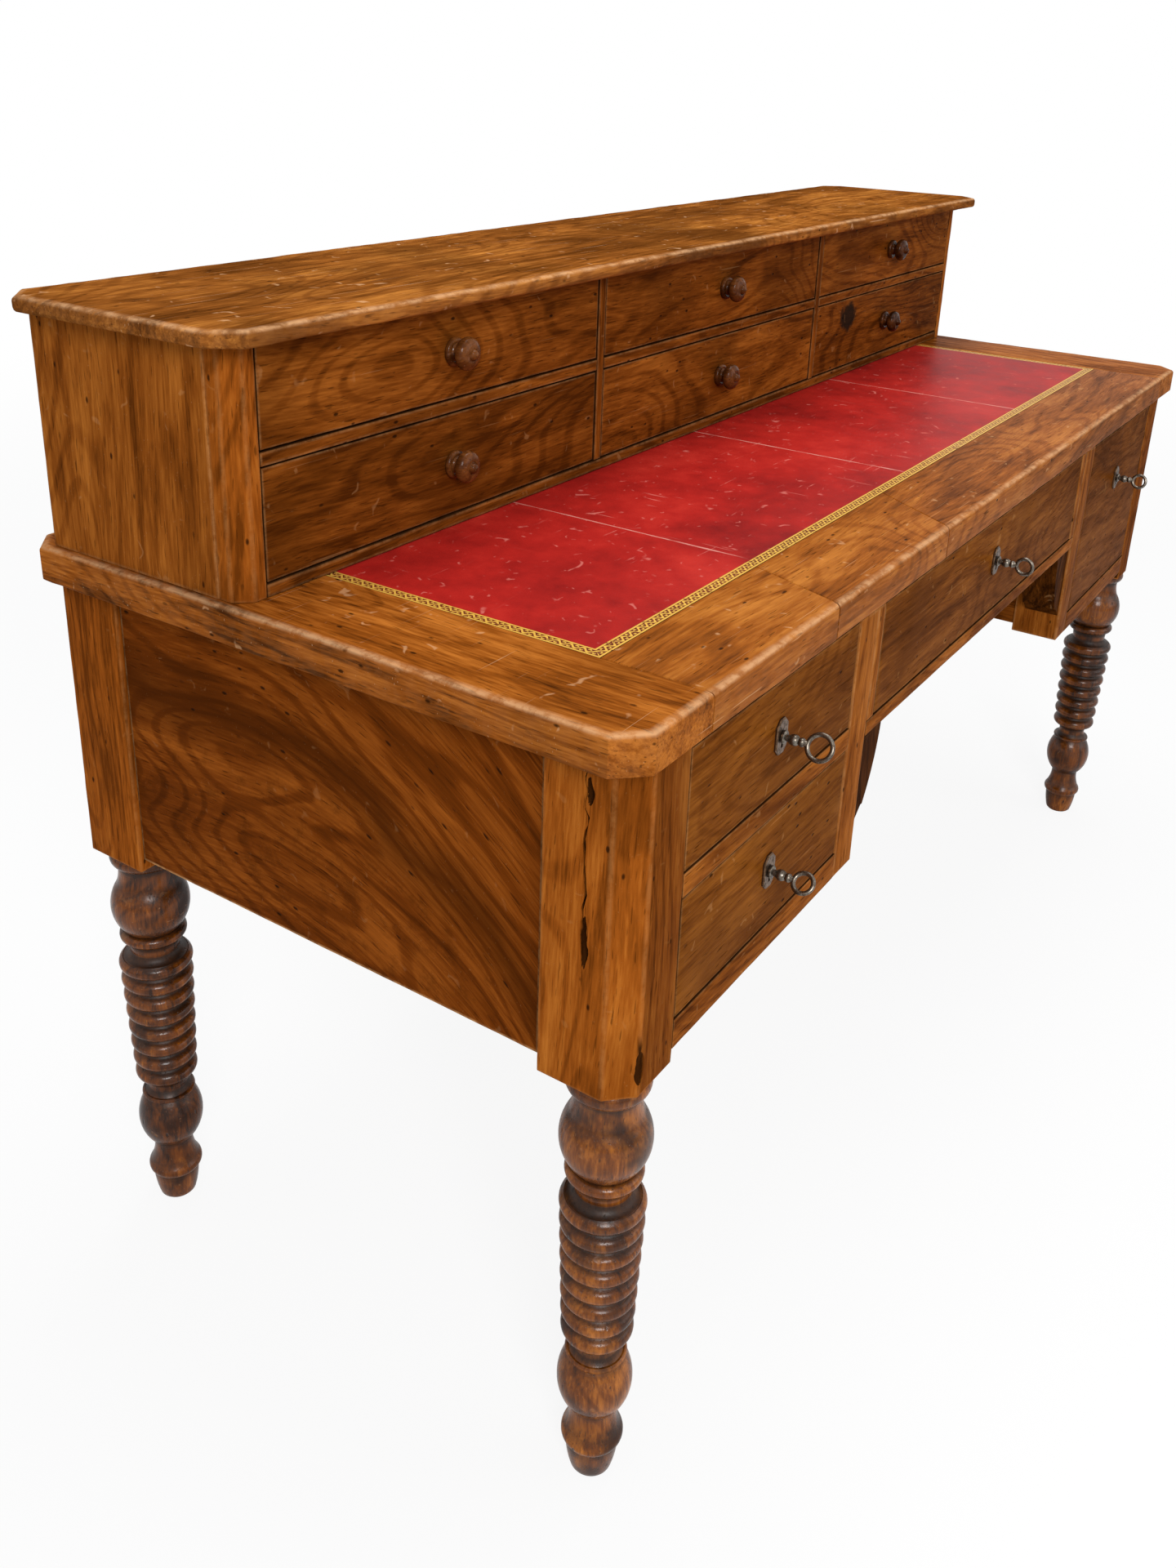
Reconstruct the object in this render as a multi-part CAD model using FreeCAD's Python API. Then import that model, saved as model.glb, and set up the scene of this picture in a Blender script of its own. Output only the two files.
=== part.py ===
"""Library desk: a turned-leg writing table with a leather top and a gallery of small drawers.

Frame: X to the right, Y to the back, Z up, origin on the floor under the middle of the outline,
which reaches from the tips of the keys in front to the back edge of the writing top.
All sizes are in millimetres.
"""
import FreeCAD, Part
import os

V = FreeCAD.Vector

# Writing top
TOP_WIDTH = 1590.0
TOP_DEPTH = 655.0
TOP_THICK = 34.0
TOP_CLIP = 24.0
TOP_ROUND = 10.0
TOP_UNDER_ROUND = 6.0
CLEAT_WIDTH = 105.0
FRONT_BOARD_WIDTH = 100.0
LEATHER_THICK = 1.6
LEATHER_SINK = 0.4
LEATHER_LAP = 20.0

# Case under the top
SIDE_OVERHANG = 24.0
FRONT_OVERHANG = 11.0
BACK_OVERHANG = 17.0
POST_WIDTH = 72.0
FRONT_POST_DEPTH = 82.0
REAR_POST_DEPTH = 74.0
POST_CHAMFER = 21.0
RAIL_LIFT = 13.0
PANEL_THICK = 18.0
PANEL_SINK = 4.0
BACK_THICK = 16.0
TONGUE_LENGTH = 8.0
TONGUE_THICK = 8.0

# Turned part of a leg, from the floor up
LEG_HEIGHT = 442.0
TOE_HEIGHT = 34.0
TOE_DIA = 39.0
TOE_TOP_DIA = 48.0
ANKLE_BEAD_HEIGHT = 13.0
ANKLE_DIA = 56.0
ANKLE_COVE_HEIGHT = 28.0
NECK_DIA = 40.0
NECK_COVE_DIA = 43.0
PEAR_HEIGHT = 63.0
PEAR_DIA = 67.0
FILLET_HEIGHT = 5.0
FILLET_DIA = 55.0
FILLET_ROOT_DIA = 48.0
WAIST_HEIGHT = 19.4
WAIST_DIA = 40.0
RING_COUNT = 8
RING_FOOT_DIA = 64.0
RING_TOP_DIA = 74.0
RING_GROOVE = 7.5
COVE_HEIGHT = 16.2
COVE_DIA = 50.0
BEAD_HEIGHT = 12.0
BEAD_DIA = 67.0
BEAD_ROOT_DIA = 55.0
BALL_HEIGHT = 53.0
BALL_DIA = 78.0
BALL_TOP_DIA = 63.0
SHOULDER_HEIGHT = 24.0
SHOULDER_DIA = 57.4
COLLAR_HEIGHT = 16.0
COLLAR_DIA = 71.0
COLLAR_ROOT_DIA = 57.0
COLLAR_TOP_DIA = 66.0

# Kneehole
KNEEHOLE_WIDTH = 700.0
KNEE_POST_WIDTH = 42.0
KNEE_POST_DEPTH = 62.0
KNEE_FILLET_WIDTH = 16.0
KNEE_FILLET_DEPTH = 30.0
CHEEK_THICK = 18.0
CHEEK_SINK = 3.0
CHEEK_LIFT = 10.0
BRACKET_WIDTH = 48.0
BRACKET_HEIGHT = 100.0
BRACKET_DEPTH = 44.0
BRACKET_SINK = 3.0
BRACKET_STEP = 4.0
BRACKET_TOE_WIDTH = 22.0
BRACKET_TOE_HEIGHT = 16.0
BRACKET_BULGE = 5.0

# Front rails, tenons and the openings between the rails
RAIL_DEPTH = 60.0
TOP_RAIL_THICK = 10.0
MID_RAIL_THICK = 22.0
BOTTOM_RAIL_THICK = 28.0
CENTRE_RAIL_THICK = 16.0
LOWER_OPENING = 113.0
UPPER_OPENING = 108.0
CENTRE_OPENING = 118.0
TENON_LENGTH = 18.0
TENON_SHOULDER = 2.5
TENON_SIDE = 10.0

# Drawer runners and guides
RUNNER_THICK = 18.0
RUNNER_LAP = 14.0
GUIDE_RISE = 14.0

# Drawers
DRAWER_GAP = 1.2
DRAWER_SINK = 0.8
SLIDE_GAP = 0.3
DRAWER_FRONT_THICK = 20.0
DRAWER_SIDE_THICK = 11.0
DRAWER_BACK_THICK = 10.0
DRAWER_BOTTOM_THICK = 7.0
BOTTOM_RISE = 8.0
BOTTOM_GROOVE = 5.0
DRAWER_TOP_ROOM = 7.0
BACK_DROP = 6.0
LOWER_BOX_LENGTH = 470.0
TAIL_LENGTH = 13.0
LOWER_TAIL_COUNT = 3
GALLERY_TAIL_COUNT = 2
TAIL_ROOT_SHARE = 0.26
TAIL_TIP_SHARE = 0.36

# Locks and keys
LOCK_WIDTH = 56.0
LOCK_DEPTH = 11.0
LOCK_WALL = 2.0
LOCK_FOOT = 14.0
LOCK_ROOM = 0.4
BOLT_WIDTH = 26.0
BOLT_THICK = 3.2
BOLT_FOOT = 8.0
BOLT_THROW = 7.0
BOLT_REST_GAP = 0.3
MORTISE_ROOM = 1.0
ESCUTCHEON_WIDTH = 20.0
ESCUTCHEON_HEIGHT = 33.0
ESCUTCHEON_CORNER = 6.0
ESCUTCHEON_THICK = 2.4
ESCUTCHEON_BEVEL = 1.0
KEY_SHAFT_DIA = 5.6
KEY_SHAFT_OUT = 22.0
KEY_RING_DIA = 22.0
KEY_RING_LARGE_DIA = 26.0
KEY_RING_WIRE = 4.2
KEY_BALL_DIA = 10.0
KEY_BALL_OUT = 12.0
KEY_COLLAR_DIA = 8.0
KEY_COLLAR_OUT = 19.0
KEY_SEAT_DIA = 12.0
KEY_SEAT_LENGTH = 3.0
KEY_BIT_REACH = 9.0
KEY_BIT_WIDTH = 2.4
KEY_BIT_THICK = 2.6
KEYHOLE_ROOM = 0.4
KEYHOLE_SLOT_WIDTH = 3.4
KEYHOLE_SLOT_DROP = 10.5
LOCK_DROP = 52.0
RIGHT_LOCK_DROP = 78.0
UPPER_LEFT_KEY_TURN_DEG = 29.0
LOWER_LEFT_KEY_TURN_DEG = 46.0
CENTRE_KEY_TURN_DEG = 0.0
RIGHT_KEY_TURN_DEG = 14.0

# Gallery on the writing top
GALLERY_WIDTH = 1572.0
GALLERY_DEPTH = 240.0
GALLERY_SETBACK = 35.0
GALLERY_STILE_WIDTH = 27.0
GALLERY_STILE_DEPTH = 28.0
GALLERY_CHAMFER = 14.0
GALLERY_BASE_THICK = 12.0
GALLERY_SHELF_THICK = 12.0
GALLERY_LOWER_OPENING = 99.0
GALLERY_UPPER_OPENING = 89.0
GALLERY_DIVIDER_THICK = 13.0
GALLERY_DIVIDER_SPACING = 540.0
GALLERY_BACK_THICK = 10.0
GALLERY_BOX_LENGTH = 196.0
GALLERY_TOP_THICK = 15.0
GALLERY_TOP_FRONT_OVERHANG = 28.0
GALLERY_TOP_SIDE_OVERHANG = 28.0
GALLERY_TOP_BACK_OVERHANG = 5.0
GALLERY_TOP_CLIP = 25.0
GALLERY_TOP_ROUND = 6.0

# Gallery knobs
KNOB_DIA = 31.0
KNOB_LENGTH = 30.0
KNOB_FLANGE_DIA = 27.0
KNOB_FLANGE_LENGTH = 5.0
KNOB_FLANGE_FACE_DIA = 22.0
KNOB_NECK_DIA = 14.0
KNOB_NECK_LENGTH = 7.0
KNOB_DISC_LENGTH = 13.0
KNOB_DISC_FACE_DIA = 20.0
KNOB_BUTTON_DIA = 10.0
KNOB_TIP_DIA = 3.0
BUTTON_CHEEK_SHARE = 0.78
KNOB_DOWEL_DIA = 8.0
KNOB_DOWEL_LENGTH = 14.0

# Cuts run past the faces that they open by this much
OVERRUN = 5.0

# Places that follow from the sizes
KEY_REACH = KEY_SHAFT_OUT + KEY_RING_LARGE_DIA
KEY_BEYOND_TOP = max(0.0, KEY_REACH - FRONT_OVERHANG)
TOP_FRONT = KEY_BEYOND_TOP - (TOP_DEPTH + KEY_BEYOND_TOP) / 2
TOP_BACK = TOP_FRONT + TOP_DEPTH
TOP_SIDE = TOP_WIDTH / 2
RAIL_UNDER = LEG_HEIGHT + RAIL_LIFT
BOTTOM_RAIL_TOP = RAIL_UNDER + BOTTOM_RAIL_THICK
MID_RAIL_UNDER = BOTTOM_RAIL_TOP + LOWER_OPENING
MID_RAIL_TOP = MID_RAIL_UNDER + MID_RAIL_THICK
TOP_RAIL_UNDER = MID_RAIL_TOP + UPPER_OPENING
TOP_UNDER = TOP_RAIL_UNDER + TOP_RAIL_THICK
TOP_HEIGHT = TOP_UNDER + TOP_THICK
CASE_FRONT = TOP_FRONT + FRONT_OVERHANG
CASE_BACK = TOP_BACK - BACK_OVERHANG
CASE_SIDE = TOP_SIDE - SIDE_OVERHANG
POST_INNER = CASE_SIDE - POST_WIDTH
PANEL_OUTER = CASE_SIDE - PANEL_SINK
PANEL_INNER = PANEL_OUTER - PANEL_THICK
BACK_OUTER = CASE_BACK - PANEL_SINK
BACK_INNER = BACK_OUTER - BACK_THICK
RAIL_BACK = CASE_FRONT + RAIL_DEPTH
KNEE_SIDE = KNEEHOLE_WIDTH / 2
KNEE_POST_OUTER = KNEE_SIDE + KNEE_POST_WIDTH
KNEE_POST_BACK = CASE_FRONT + KNEE_POST_DEPTH
CHEEK_INNER = KNEE_SIDE + CHEEK_SINK
CHEEK_OUTER = CHEEK_INNER + CHEEK_THICK
CENTRE_SIDE = KNEE_SIDE - KNEE_FILLET_WIDTH
CENTRE_RAIL_TOP = TOP_RAIL_UNDER - CENTRE_OPENING
CENTRE_RAIL_UNDER = CENTRE_RAIL_TOP - CENTRE_RAIL_THICK
GALLERY_BACK = TOP_BACK - GALLERY_SETBACK
GALLERY_FRONT = GALLERY_BACK - GALLERY_DEPTH
GALLERY_SIDE = GALLERY_WIDTH / 2
GALLERY_INNER = GALLERY_SIDE - GALLERY_STILE_WIDTH
GALLERY_FLOOR = TOP_HEIGHT + GALLERY_BASE_THICK
GALLERY_SHELF_UNDER = GALLERY_FLOOR + GALLERY_LOWER_OPENING
GALLERY_SHELF_TOP = GALLERY_SHELF_UNDER + GALLERY_SHELF_THICK
GALLERY_TOP_UNDER = GALLERY_SHELF_TOP + GALLERY_UPPER_OPENING
GALLERY_BACK_INNER = GALLERY_BACK - GALLERY_BACK_THICK
DIVIDER_INNER = (GALLERY_DIVIDER_SPACING - GALLERY_DIVIDER_THICK) / 2
DIVIDER_OUTER = DIVIDER_INNER + GALLERY_DIVIDER_THICK
LEATHER_SIDE = TOP_SIDE - CLEAT_WIDTH
LEATHER_FRONT = TOP_FRONT + FRONT_BOARD_WIDTH
LEATHER_BACK = GALLERY_FRONT + LEATHER_LAP

# Openings of the lower drawers: left, right, bottom, top, lock drop, key turn, key ring
LOWER_DRAWERS = {
    "upper_left": (-POST_INNER, -KNEE_POST_OUTER, MID_RAIL_TOP, TOP_RAIL_UNDER, LOCK_DROP,
                   UPPER_LEFT_KEY_TURN_DEG, KEY_RING_LARGE_DIA),
    "lower_left": (-POST_INNER, -KNEE_POST_OUTER, BOTTOM_RAIL_TOP, MID_RAIL_UNDER, LOCK_DROP,
                   LOWER_LEFT_KEY_TURN_DEG, KEY_RING_DIA),
    "centre": (-CENTRE_SIDE, CENTRE_SIDE, CENTRE_RAIL_TOP, TOP_RAIL_UNDER, LOCK_DROP,
               CENTRE_KEY_TURN_DEG, KEY_RING_DIA),
    "right": (KNEE_POST_OUTER, POST_INNER, BOTTOM_RAIL_TOP, TOP_RAIL_UNDER, RIGHT_LOCK_DROP,
              RIGHT_KEY_TURN_DEG, KEY_RING_DIA),
}

# Openings of the gallery drawers: left and right of each column, bottom and top of each row
GALLERY_COLUMNS = {
    "left": (-GALLERY_INNER, -DIVIDER_OUTER),
    "middle": (-DIVIDER_INNER, DIVIDER_INNER),
    "right": (DIVIDER_OUTER, GALLERY_INNER),
}
GALLERY_ROWS = {
    "lower": (GALLERY_FLOOR, GALLERY_SHELF_UNDER),
    "upper": (GALLERY_SHELF_TOP, GALLERY_TOP_UNDER),
}


# General shapes
def box(x0, x1, y0, y1, z0, z1):
    """A block between two values on each axis."""
    return Part.makeBox(x1 - x0, y1 - y0, z1 - z0, V(x0, y0, z0))


def mirrored(shape):
    """The same shape on the other side of the middle plane."""
    return shape.mirror(V(0, 0, 0), V(1, 0, 0))


def prism(points, direction):
    """A flat outline of points, pushed along a direction."""
    return Part.Face(Part.makePolygon(points + points[:1])).extrude(direction)


def revolved(edges, centre, axis):
    """A closed outline turned once round an axis."""
    return Part.Face(Part.Wire(edges)).revolve(centre, axis, 360)


def joined(first, *others):
    """One solid from pieces that grow together."""
    return first.fuse(list(others)).removeSplitter()


def save(node, *solids):
    """Writes the solids of one sub-part."""
    shape = solids[0] if len(solids) == 1 else Part.makeCompound(list(solids))
    shape.exportStep(f"parts/{node}.step")
    print(f"{node}: {len(shape.Solids)} solid(s), {shape.Volume / 1000:.1f} cm3")


def clipped_board(side, front, back, under, thick, clip, top_round, under_round):
    """A board with clipped corners and a worn, rounded edge all round."""
    outline = [V(-side + clip, front, under), V(side - clip, front, under),
               V(side, front + clip, under), V(side, back - clip, under),
               V(side - clip, back, under), V(-side + clip, back, under),
               V(-side, back - clip, under), V(-side, front + clip, under)]
    board = prism(outline, V(0, 0, thick))
    for height, radius in ((under + thick, top_round), (under, under_round)):
        rim = [e for e in board.Edges if all(abs(v.Z - height) < under_round for v in e.Vertexes)
               and abs(e.BoundBox.ZLength) < under_round]
        board = board.makeFillet(radius, rim)
    return board


# Legs
def turned_profile():
    """Outline of the turned leg: (via radius, via height, end radius, end height) per stretch."""
    stretches = []
    z = TOE_HEIGHT
    toe_via = (TOE_DIA + TOE_TOP_DIA) / 4
    stretches.append((toe_via + (TOE_TOP_DIA - TOE_DIA) / 8, z / 2, TOE_TOP_DIA / 2, z))

    def add(via_dia, height, end_dia):
        nonlocal z
        stretches.append((via_dia / 2, z + height / 2, end_dia / 2, z + height))
        z += height

    add(ANKLE_DIA, ANKLE_BEAD_HEIGHT, TOE_TOP_DIA)
    add(NECK_COVE_DIA, ANKLE_COVE_HEIGHT, NECK_DIA)
    add(PEAR_DIA, PEAR_HEIGHT, FILLET_ROOT_DIA)
    add(FILLET_DIA, FILLET_HEIGHT, FILLET_ROOT_DIA)
    add(WAIST_DIA, WAIST_HEIGHT, RING_FOOT_DIA - 2 * RING_GROOVE)
    upper = COVE_HEIGHT + BEAD_HEIGHT + BALL_HEIGHT + SHOULDER_HEIGHT + COLLAR_HEIGHT
    pitch = (LEG_HEIGHT - upper - z) / RING_COUNT
    for ring in range(RING_COUNT):
        grow = (RING_TOP_DIA - RING_FOOT_DIA) / (RING_COUNT - 1)
        dia = RING_FOOT_DIA + ring * grow
        add(dia, pitch, dia - 2 * RING_GROOVE + grow)
    add(COVE_DIA, COVE_HEIGHT, BEAD_ROOT_DIA)
    add(BEAD_DIA, BEAD_HEIGHT, BEAD_ROOT_DIA)
    add(BALL_DIA, BALL_HEIGHT, BALL_TOP_DIA)
    add(SHOULDER_DIA, SHOULDER_HEIGHT, COLLAR_ROOT_DIA)
    add(COLLAR_DIA, COLLAR_HEIGHT, COLLAR_TOP_DIA)
    return stretches


def turned_leg(x, y):
    """The turned part of a leg, standing on the floor at x, y."""
    at = V(x + TOE_DIA / 2, y, 0)
    edges = [Part.LineSegment(V(x, y, 0), at).toShape()]
    for via_radius, via_z, end_radius, end_z in turned_profile():
        end = V(x + end_radius, y, end_z)
        edges.append(Part.Arc(at, V(x + via_radius, y, via_z), end).toShape())
        at = end
    edges.append(Part.LineSegment(at, V(x, y, at.z)).toShape())
    edges.append(Part.LineSegment(V(x, y, at.z), V(x, y, 0)).toShape())
    return revolved(edges, V(x, y, 0), V(0, 0, 1))


def left_leg(front, back, axis, chamfer):
    """A left leg turned round its axis, with its post; a chamfer cuts the outer front corner."""
    post = box(-CASE_SIDE, -POST_INNER, front, back, LEG_HEIGHT, TOP_UNDER)
    if chamfer > 0:
        corner = [V(-CASE_SIDE, front, LEG_HEIGHT), V(-CASE_SIDE + chamfer, front, LEG_HEIGHT),
                  V(-CASE_SIDE, front + chamfer, LEG_HEIGHT)]
        post = post.cut(prism(corner, V(0, 0, TOP_UNDER - LEG_HEIGHT)))
    turning = turned_leg(-(CASE_SIDE + POST_INNER) / 2, axis)
    return joined(post, turning)


# Panels of the case
def left_side_panel():
    """Side board with a tongue at both ends for the grooves in the posts."""
    front = CASE_FRONT + FRONT_POST_DEPTH
    back = CASE_BACK - REAR_POST_DEPTH
    middle = -(PANEL_OUTER + PANEL_INNER) / 2
    board = box(-PANEL_OUTER, -PANEL_INNER, front, back, RAIL_UNDER, TOP_UNDER)
    tongue = box(middle - TONGUE_THICK / 2, middle + TONGUE_THICK / 2,
                 front - TONGUE_LENGTH, back + TONGUE_LENGTH, RAIL_UNDER, TOP_UNDER)
    return joined(board, tongue)


def back_panel():
    """Back board of the case with a tongue at both ends."""
    middle = (BACK_OUTER + BACK_INNER) / 2
    board = box(-POST_INNER, POST_INNER, BACK_INNER, BACK_OUTER, RAIL_UNDER, TOP_UNDER)
    tongue = box(-POST_INNER - TONGUE_LENGTH, POST_INNER + TONGUE_LENGTH,
                 middle - TONGUE_THICK / 2, middle + TONGUE_THICK / 2, RAIL_UNDER, TOP_UNDER)
    return joined(board, tongue)


def left_cheek():
    """Inner side of the left pedestal, between the kneehole post and the back panel."""
    return box(-CHEEK_OUTER, -CHEEK_INNER, KNEE_POST_BACK, BACK_INNER,
               RAIL_UNDER + CHEEK_LIFT, TOP_UNDER)


# Front frame
def rail(x0, x1, z0, z1):
    """A front rail between two posts, with a tenon at each end."""
    body = box(x0, x1, CASE_FRONT, RAIL_BACK, z0, z1)
    tenon = box(x0 - TENON_LENGTH, x1 + TENON_LENGTH, CASE_FRONT + TENON_SIDE,
                RAIL_BACK - TENON_SIDE, z0 + TENON_SHOULDER, z1 - TENON_SHOULDER)
    return joined(body, tenon)


def front_rails():
    """Top rail, rail between the left drawers, two bottom rails and the centre rail."""
    rails = {
        "top": rail(-POST_INNER, POST_INNER, TOP_RAIL_UNDER, TOP_UNDER),
        "mid": rail(-POST_INNER, -KNEE_POST_OUTER, MID_RAIL_UNDER, MID_RAIL_TOP),
        "left": rail(-POST_INNER, -KNEE_POST_OUTER, RAIL_UNDER, BOTTOM_RAIL_TOP),
        "right": rail(KNEE_POST_OUTER, POST_INNER, RAIL_UNDER, BOTTOM_RAIL_TOP),
        "centre": rail(-KNEE_SIDE, KNEE_SIDE, CENTRE_RAIL_UNDER, CENTRE_RAIL_TOP),
    }
    for name, opening in LOWER_DRAWERS.items():
        above = "mid" if name == "lower_left" else "top"
        rails[above] = rails[above].cut(bolt_mortise(opening))
    return list(rails.values())


def left_knee_post():
    """Post between the left pedestal and the kneehole."""
    return box(-KNEE_POST_OUTER, -KNEE_SIDE, CASE_FRONT, KNEE_POST_BACK, RAIL_UNDER, TOP_RAIL_UNDER)


def left_knee_fillet():
    """Narrow strip between the kneehole post and the centre drawer."""
    return box(-KNEE_SIDE, -CENTRE_SIDE, CASE_FRONT, CASE_FRONT + KNEE_FILLET_DEPTH,
               CENTRE_RAIL_TOP, TOP_RAIL_UNDER)


def left_bracket():
    """Curved bracket in the corner of kneehole post and centre rail."""
    y = CASE_FRONT + BRACKET_SINK
    toe_z = CENTRE_RAIL_UNDER - BRACKET_HEIGHT + BRACKET_TOE_HEIGHT
    corner = V(-KNEE_SIDE, y, CENTRE_RAIL_UNDER)
    tip = V(-KNEE_SIDE + BRACKET_WIDTH, y, CENTRE_RAIL_UNDER)
    lip = V(-KNEE_SIDE + BRACKET_WIDTH, y, CENTRE_RAIL_UNDER - BRACKET_STEP)
    waist = V(-KNEE_SIDE + BRACKET_TOE_WIDTH, y, toe_z)
    heel = V(-KNEE_SIDE, y, CENTRE_RAIL_UNDER - BRACKET_HEIGHT)
    bulge = (lip + waist) * 0.5 + V(BRACKET_BULGE, 0, 0)
    step = V(-KNEE_SIDE + BRACKET_TOE_WIDTH - BRACKET_STEP, y, toe_z)
    edges = [Part.LineSegment(corner, tip).toShape(), Part.LineSegment(tip, lip).toShape(),
             Part.Arc(lip, bulge, waist).toShape(), Part.LineSegment(waist, step).toShape(),
             Part.LineSegment(step, heel).toShape(), Part.LineSegment(heel, corner).toShape()]
    return Part.Face(Part.Wire(edges)).extrude(V(0, BRACKET_DEPTH, 0))


def left_runner(opening_side, wall, guide_front, guide_back, bottom):
    """Guide block on a wall and the runner strip under a drawer side, for a left-hand side."""
    under = bottom - RUNNER_THICK
    guide = box(-wall, -opening_side, guide_front, guide_back, under, bottom + GUIDE_RISE)
    strip = box(-opening_side, -opening_side + RUNNER_LAP, RAIL_BACK, BACK_INNER, under, bottom)
    return [guide, strip]


def drawer_runners():
    """Runners and guides of the four lower drawers."""
    solids = []
    outer_front = CASE_FRONT + FRONT_POST_DEPTH
    outer_back = CASE_BACK - REAR_POST_DEPTH
    for bottom in (BOTTOM_RAIL_TOP, MID_RAIL_TOP):
        under = bottom - RUNNER_THICK
        outer = left_runner(POST_INNER, PANEL_INNER, outer_front, outer_back, bottom)
        guide = box(-KNEE_POST_OUTER, -CHEEK_OUTER, KNEE_POST_BACK, BACK_INNER,
                    under, bottom + GUIDE_RISE)
        strip = box(-KNEE_POST_OUTER - RUNNER_LAP, -KNEE_POST_OUTER, RAIL_BACK, BACK_INNER,
                    under, bottom)
        pair = outer + [guide, strip]
        solids += pair
        if bottom == BOTTOM_RAIL_TOP:
            solids += [mirrored(solid) for solid in pair]
    centre = left_runner(CENTRE_SIDE, CHEEK_INNER, KNEE_POST_BACK, BACK_INNER, CENTRE_RAIL_TOP)
    return solids + centre + [mirrored(solid) for solid in centre]


# Writing top
def writing_top():
    """Front board, end cleats, back board and core panel, cut from one rounded slab."""
    slab = clipped_board(TOP_SIDE, TOP_FRONT, TOP_BACK, TOP_UNDER, TOP_THICK,
                         TOP_CLIP, TOP_ROUND, TOP_UNDER_ROUND)
    low = TOP_UNDER - OVERRUN
    high = TOP_HEIGHT + OVERRUN
    front = slab.common(box(-LEATHER_SIDE, LEATHER_SIDE, TOP_FRONT - OVERRUN, LEATHER_FRONT, low, high))
    back = slab.common(box(-LEATHER_SIDE, LEATHER_SIDE, LEATHER_BACK, TOP_BACK + OVERRUN, low, high))
    left = slab.common(box(-TOP_SIDE - OVERRUN, -LEATHER_SIDE, TOP_FRONT - OVERRUN,
                           TOP_BACK + OVERRUN, low, high))
    core_top = TOP_HEIGHT - LEATHER_SINK - LEATHER_THICK
    core = box(-LEATHER_SIDE, LEATHER_SIDE, LEATHER_FRONT, LEATHER_BACK, TOP_UNDER, core_top)
    leather = box(-LEATHER_SIDE, LEATHER_SIDE, LEATHER_FRONT, LEATHER_BACK,
                  core_top, core_top + LEATHER_THICK)
    save("top_front_board", front)
    save("top_back_board", back)
    save("top_end_cleats", left, mirrored(left))
    save("top_core_panel", core)
    save("leather_sheet", leather)


# Drawers
def tails(outer, inner, root, bottom, height, count):
    """Dovetails on the front end of a drawer side, pointing forward from the root plane."""
    pitch = height / count
    solids = []
    for number in range(count):
        middle = bottom + pitch * number + pitch / 2
        narrow = pitch * TAIL_ROOT_SHARE
        wide = pitch * TAIL_TIP_SHARE
        outline = [V(outer, root, middle - narrow), V(outer, root - TAIL_LENGTH, middle - wide),
                   V(outer, root - TAIL_LENGTH, middle + wide), V(outer, root, middle + narrow)]
        solids.append(prism(outline, V(inner - outer, 0, 0)))
    return solids


def drawer(front_plane, opening, length, tail_count):
    """Front board and box (two sides, back, bottom) of a drawer that fills an opening."""
    left, right, bottom, top = opening
    face = front_plane + DRAWER_SINK
    root = face + DRAWER_FRONT_THICK
    end = root + length
    x0 = left + DRAWER_GAP
    x1 = right - DRAWER_GAP
    low = bottom + SLIDE_GAP
    high = top - DRAWER_TOP_ROOM
    front = box(x0, x1, face, root, bottom + DRAWER_GAP, top - DRAWER_GAP)
    panel = box(x0 + DRAWER_SIDE_THICK - BOTTOM_GROOVE, x1 - DRAWER_SIDE_THICK + BOTTOM_GROOVE,
                root, end, low + BOTTOM_RISE, low + BOTTOM_RISE + DRAWER_BOTTOM_THICK)
    boards = []
    for outer, inner in ((x0, x0 + DRAWER_SIDE_THICK), (x1, x1 - DRAWER_SIDE_THICK)):
        ends = tails(outer, inner, root, low, high - low, tail_count)
        front = front.cut(ends)
        side = box(min(outer, inner), max(outer, inner), root, end, low, high)
        boards.append(joined(side, *ends).cut(panel))
    back = box(x0 + DRAWER_SIDE_THICK, x1 - DRAWER_SIDE_THICK, end - DRAWER_BACK_THICK, end,
               low + BOTTOM_RISE + DRAWER_BOTTOM_THICK, high - BACK_DROP)
    return front, boards + [back, panel]


# Locks
def lock_place(opening):
    """Key axis x and z, drawer face, back of the drawer front and its top edge."""
    left, right, _, top, drop = opening[:5]
    face = CASE_FRONT + DRAWER_SINK
    edge = top - DRAWER_GAP
    return (left + right) / 2, edge - drop, face, face + DRAWER_FRONT_THICK, edge


def bolt_layer(root):
    """Front and back of the bolt plate inside the lock."""
    back = root - LOCK_WALL - LOCK_ROOM
    return back - BOLT_THICK, back


def bolt_mortise(opening):
    """Slot in the rail above a drawer that the raised bolt enters."""
    x, _, _, root, edge = lock_place(opening)
    front, back = bolt_layer(root)
    half = BOLT_WIDTH / 2 + MORTISE_ROOM
    return box(x - half, x + half, front - MORTISE_ROOM, back + MORTISE_ROOM,
               edge, edge + BOLT_THROW + MORTISE_ROOM)


def lock_recess(opening):
    """Space that the lock case takes in the back of the drawer front."""
    x, z, _, root, edge = lock_place(opening)
    return box(x - LOCK_WIDTH / 2, x + LOCK_WIDTH / 2, root - LOCK_DEPTH, root, z - LOCK_FOOT, edge)


def keyhole(x, z, y0, y1):
    """Round hole for the shaft with a slot below for the bit."""
    radius = KEY_SHAFT_DIA / 2 + KEYHOLE_ROOM
    shaft = Part.makeCylinder(radius, y1 - y0, V(x, y0, z), V(0, 1, 0))
    slot = box(x - KEYHOLE_SLOT_WIDTH / 2, x + KEYHOLE_SLOT_WIDTH / 2, y0, y1, z - KEYHOLE_SLOT_DROP, z)
    return shaft.fuse(slot)


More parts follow.
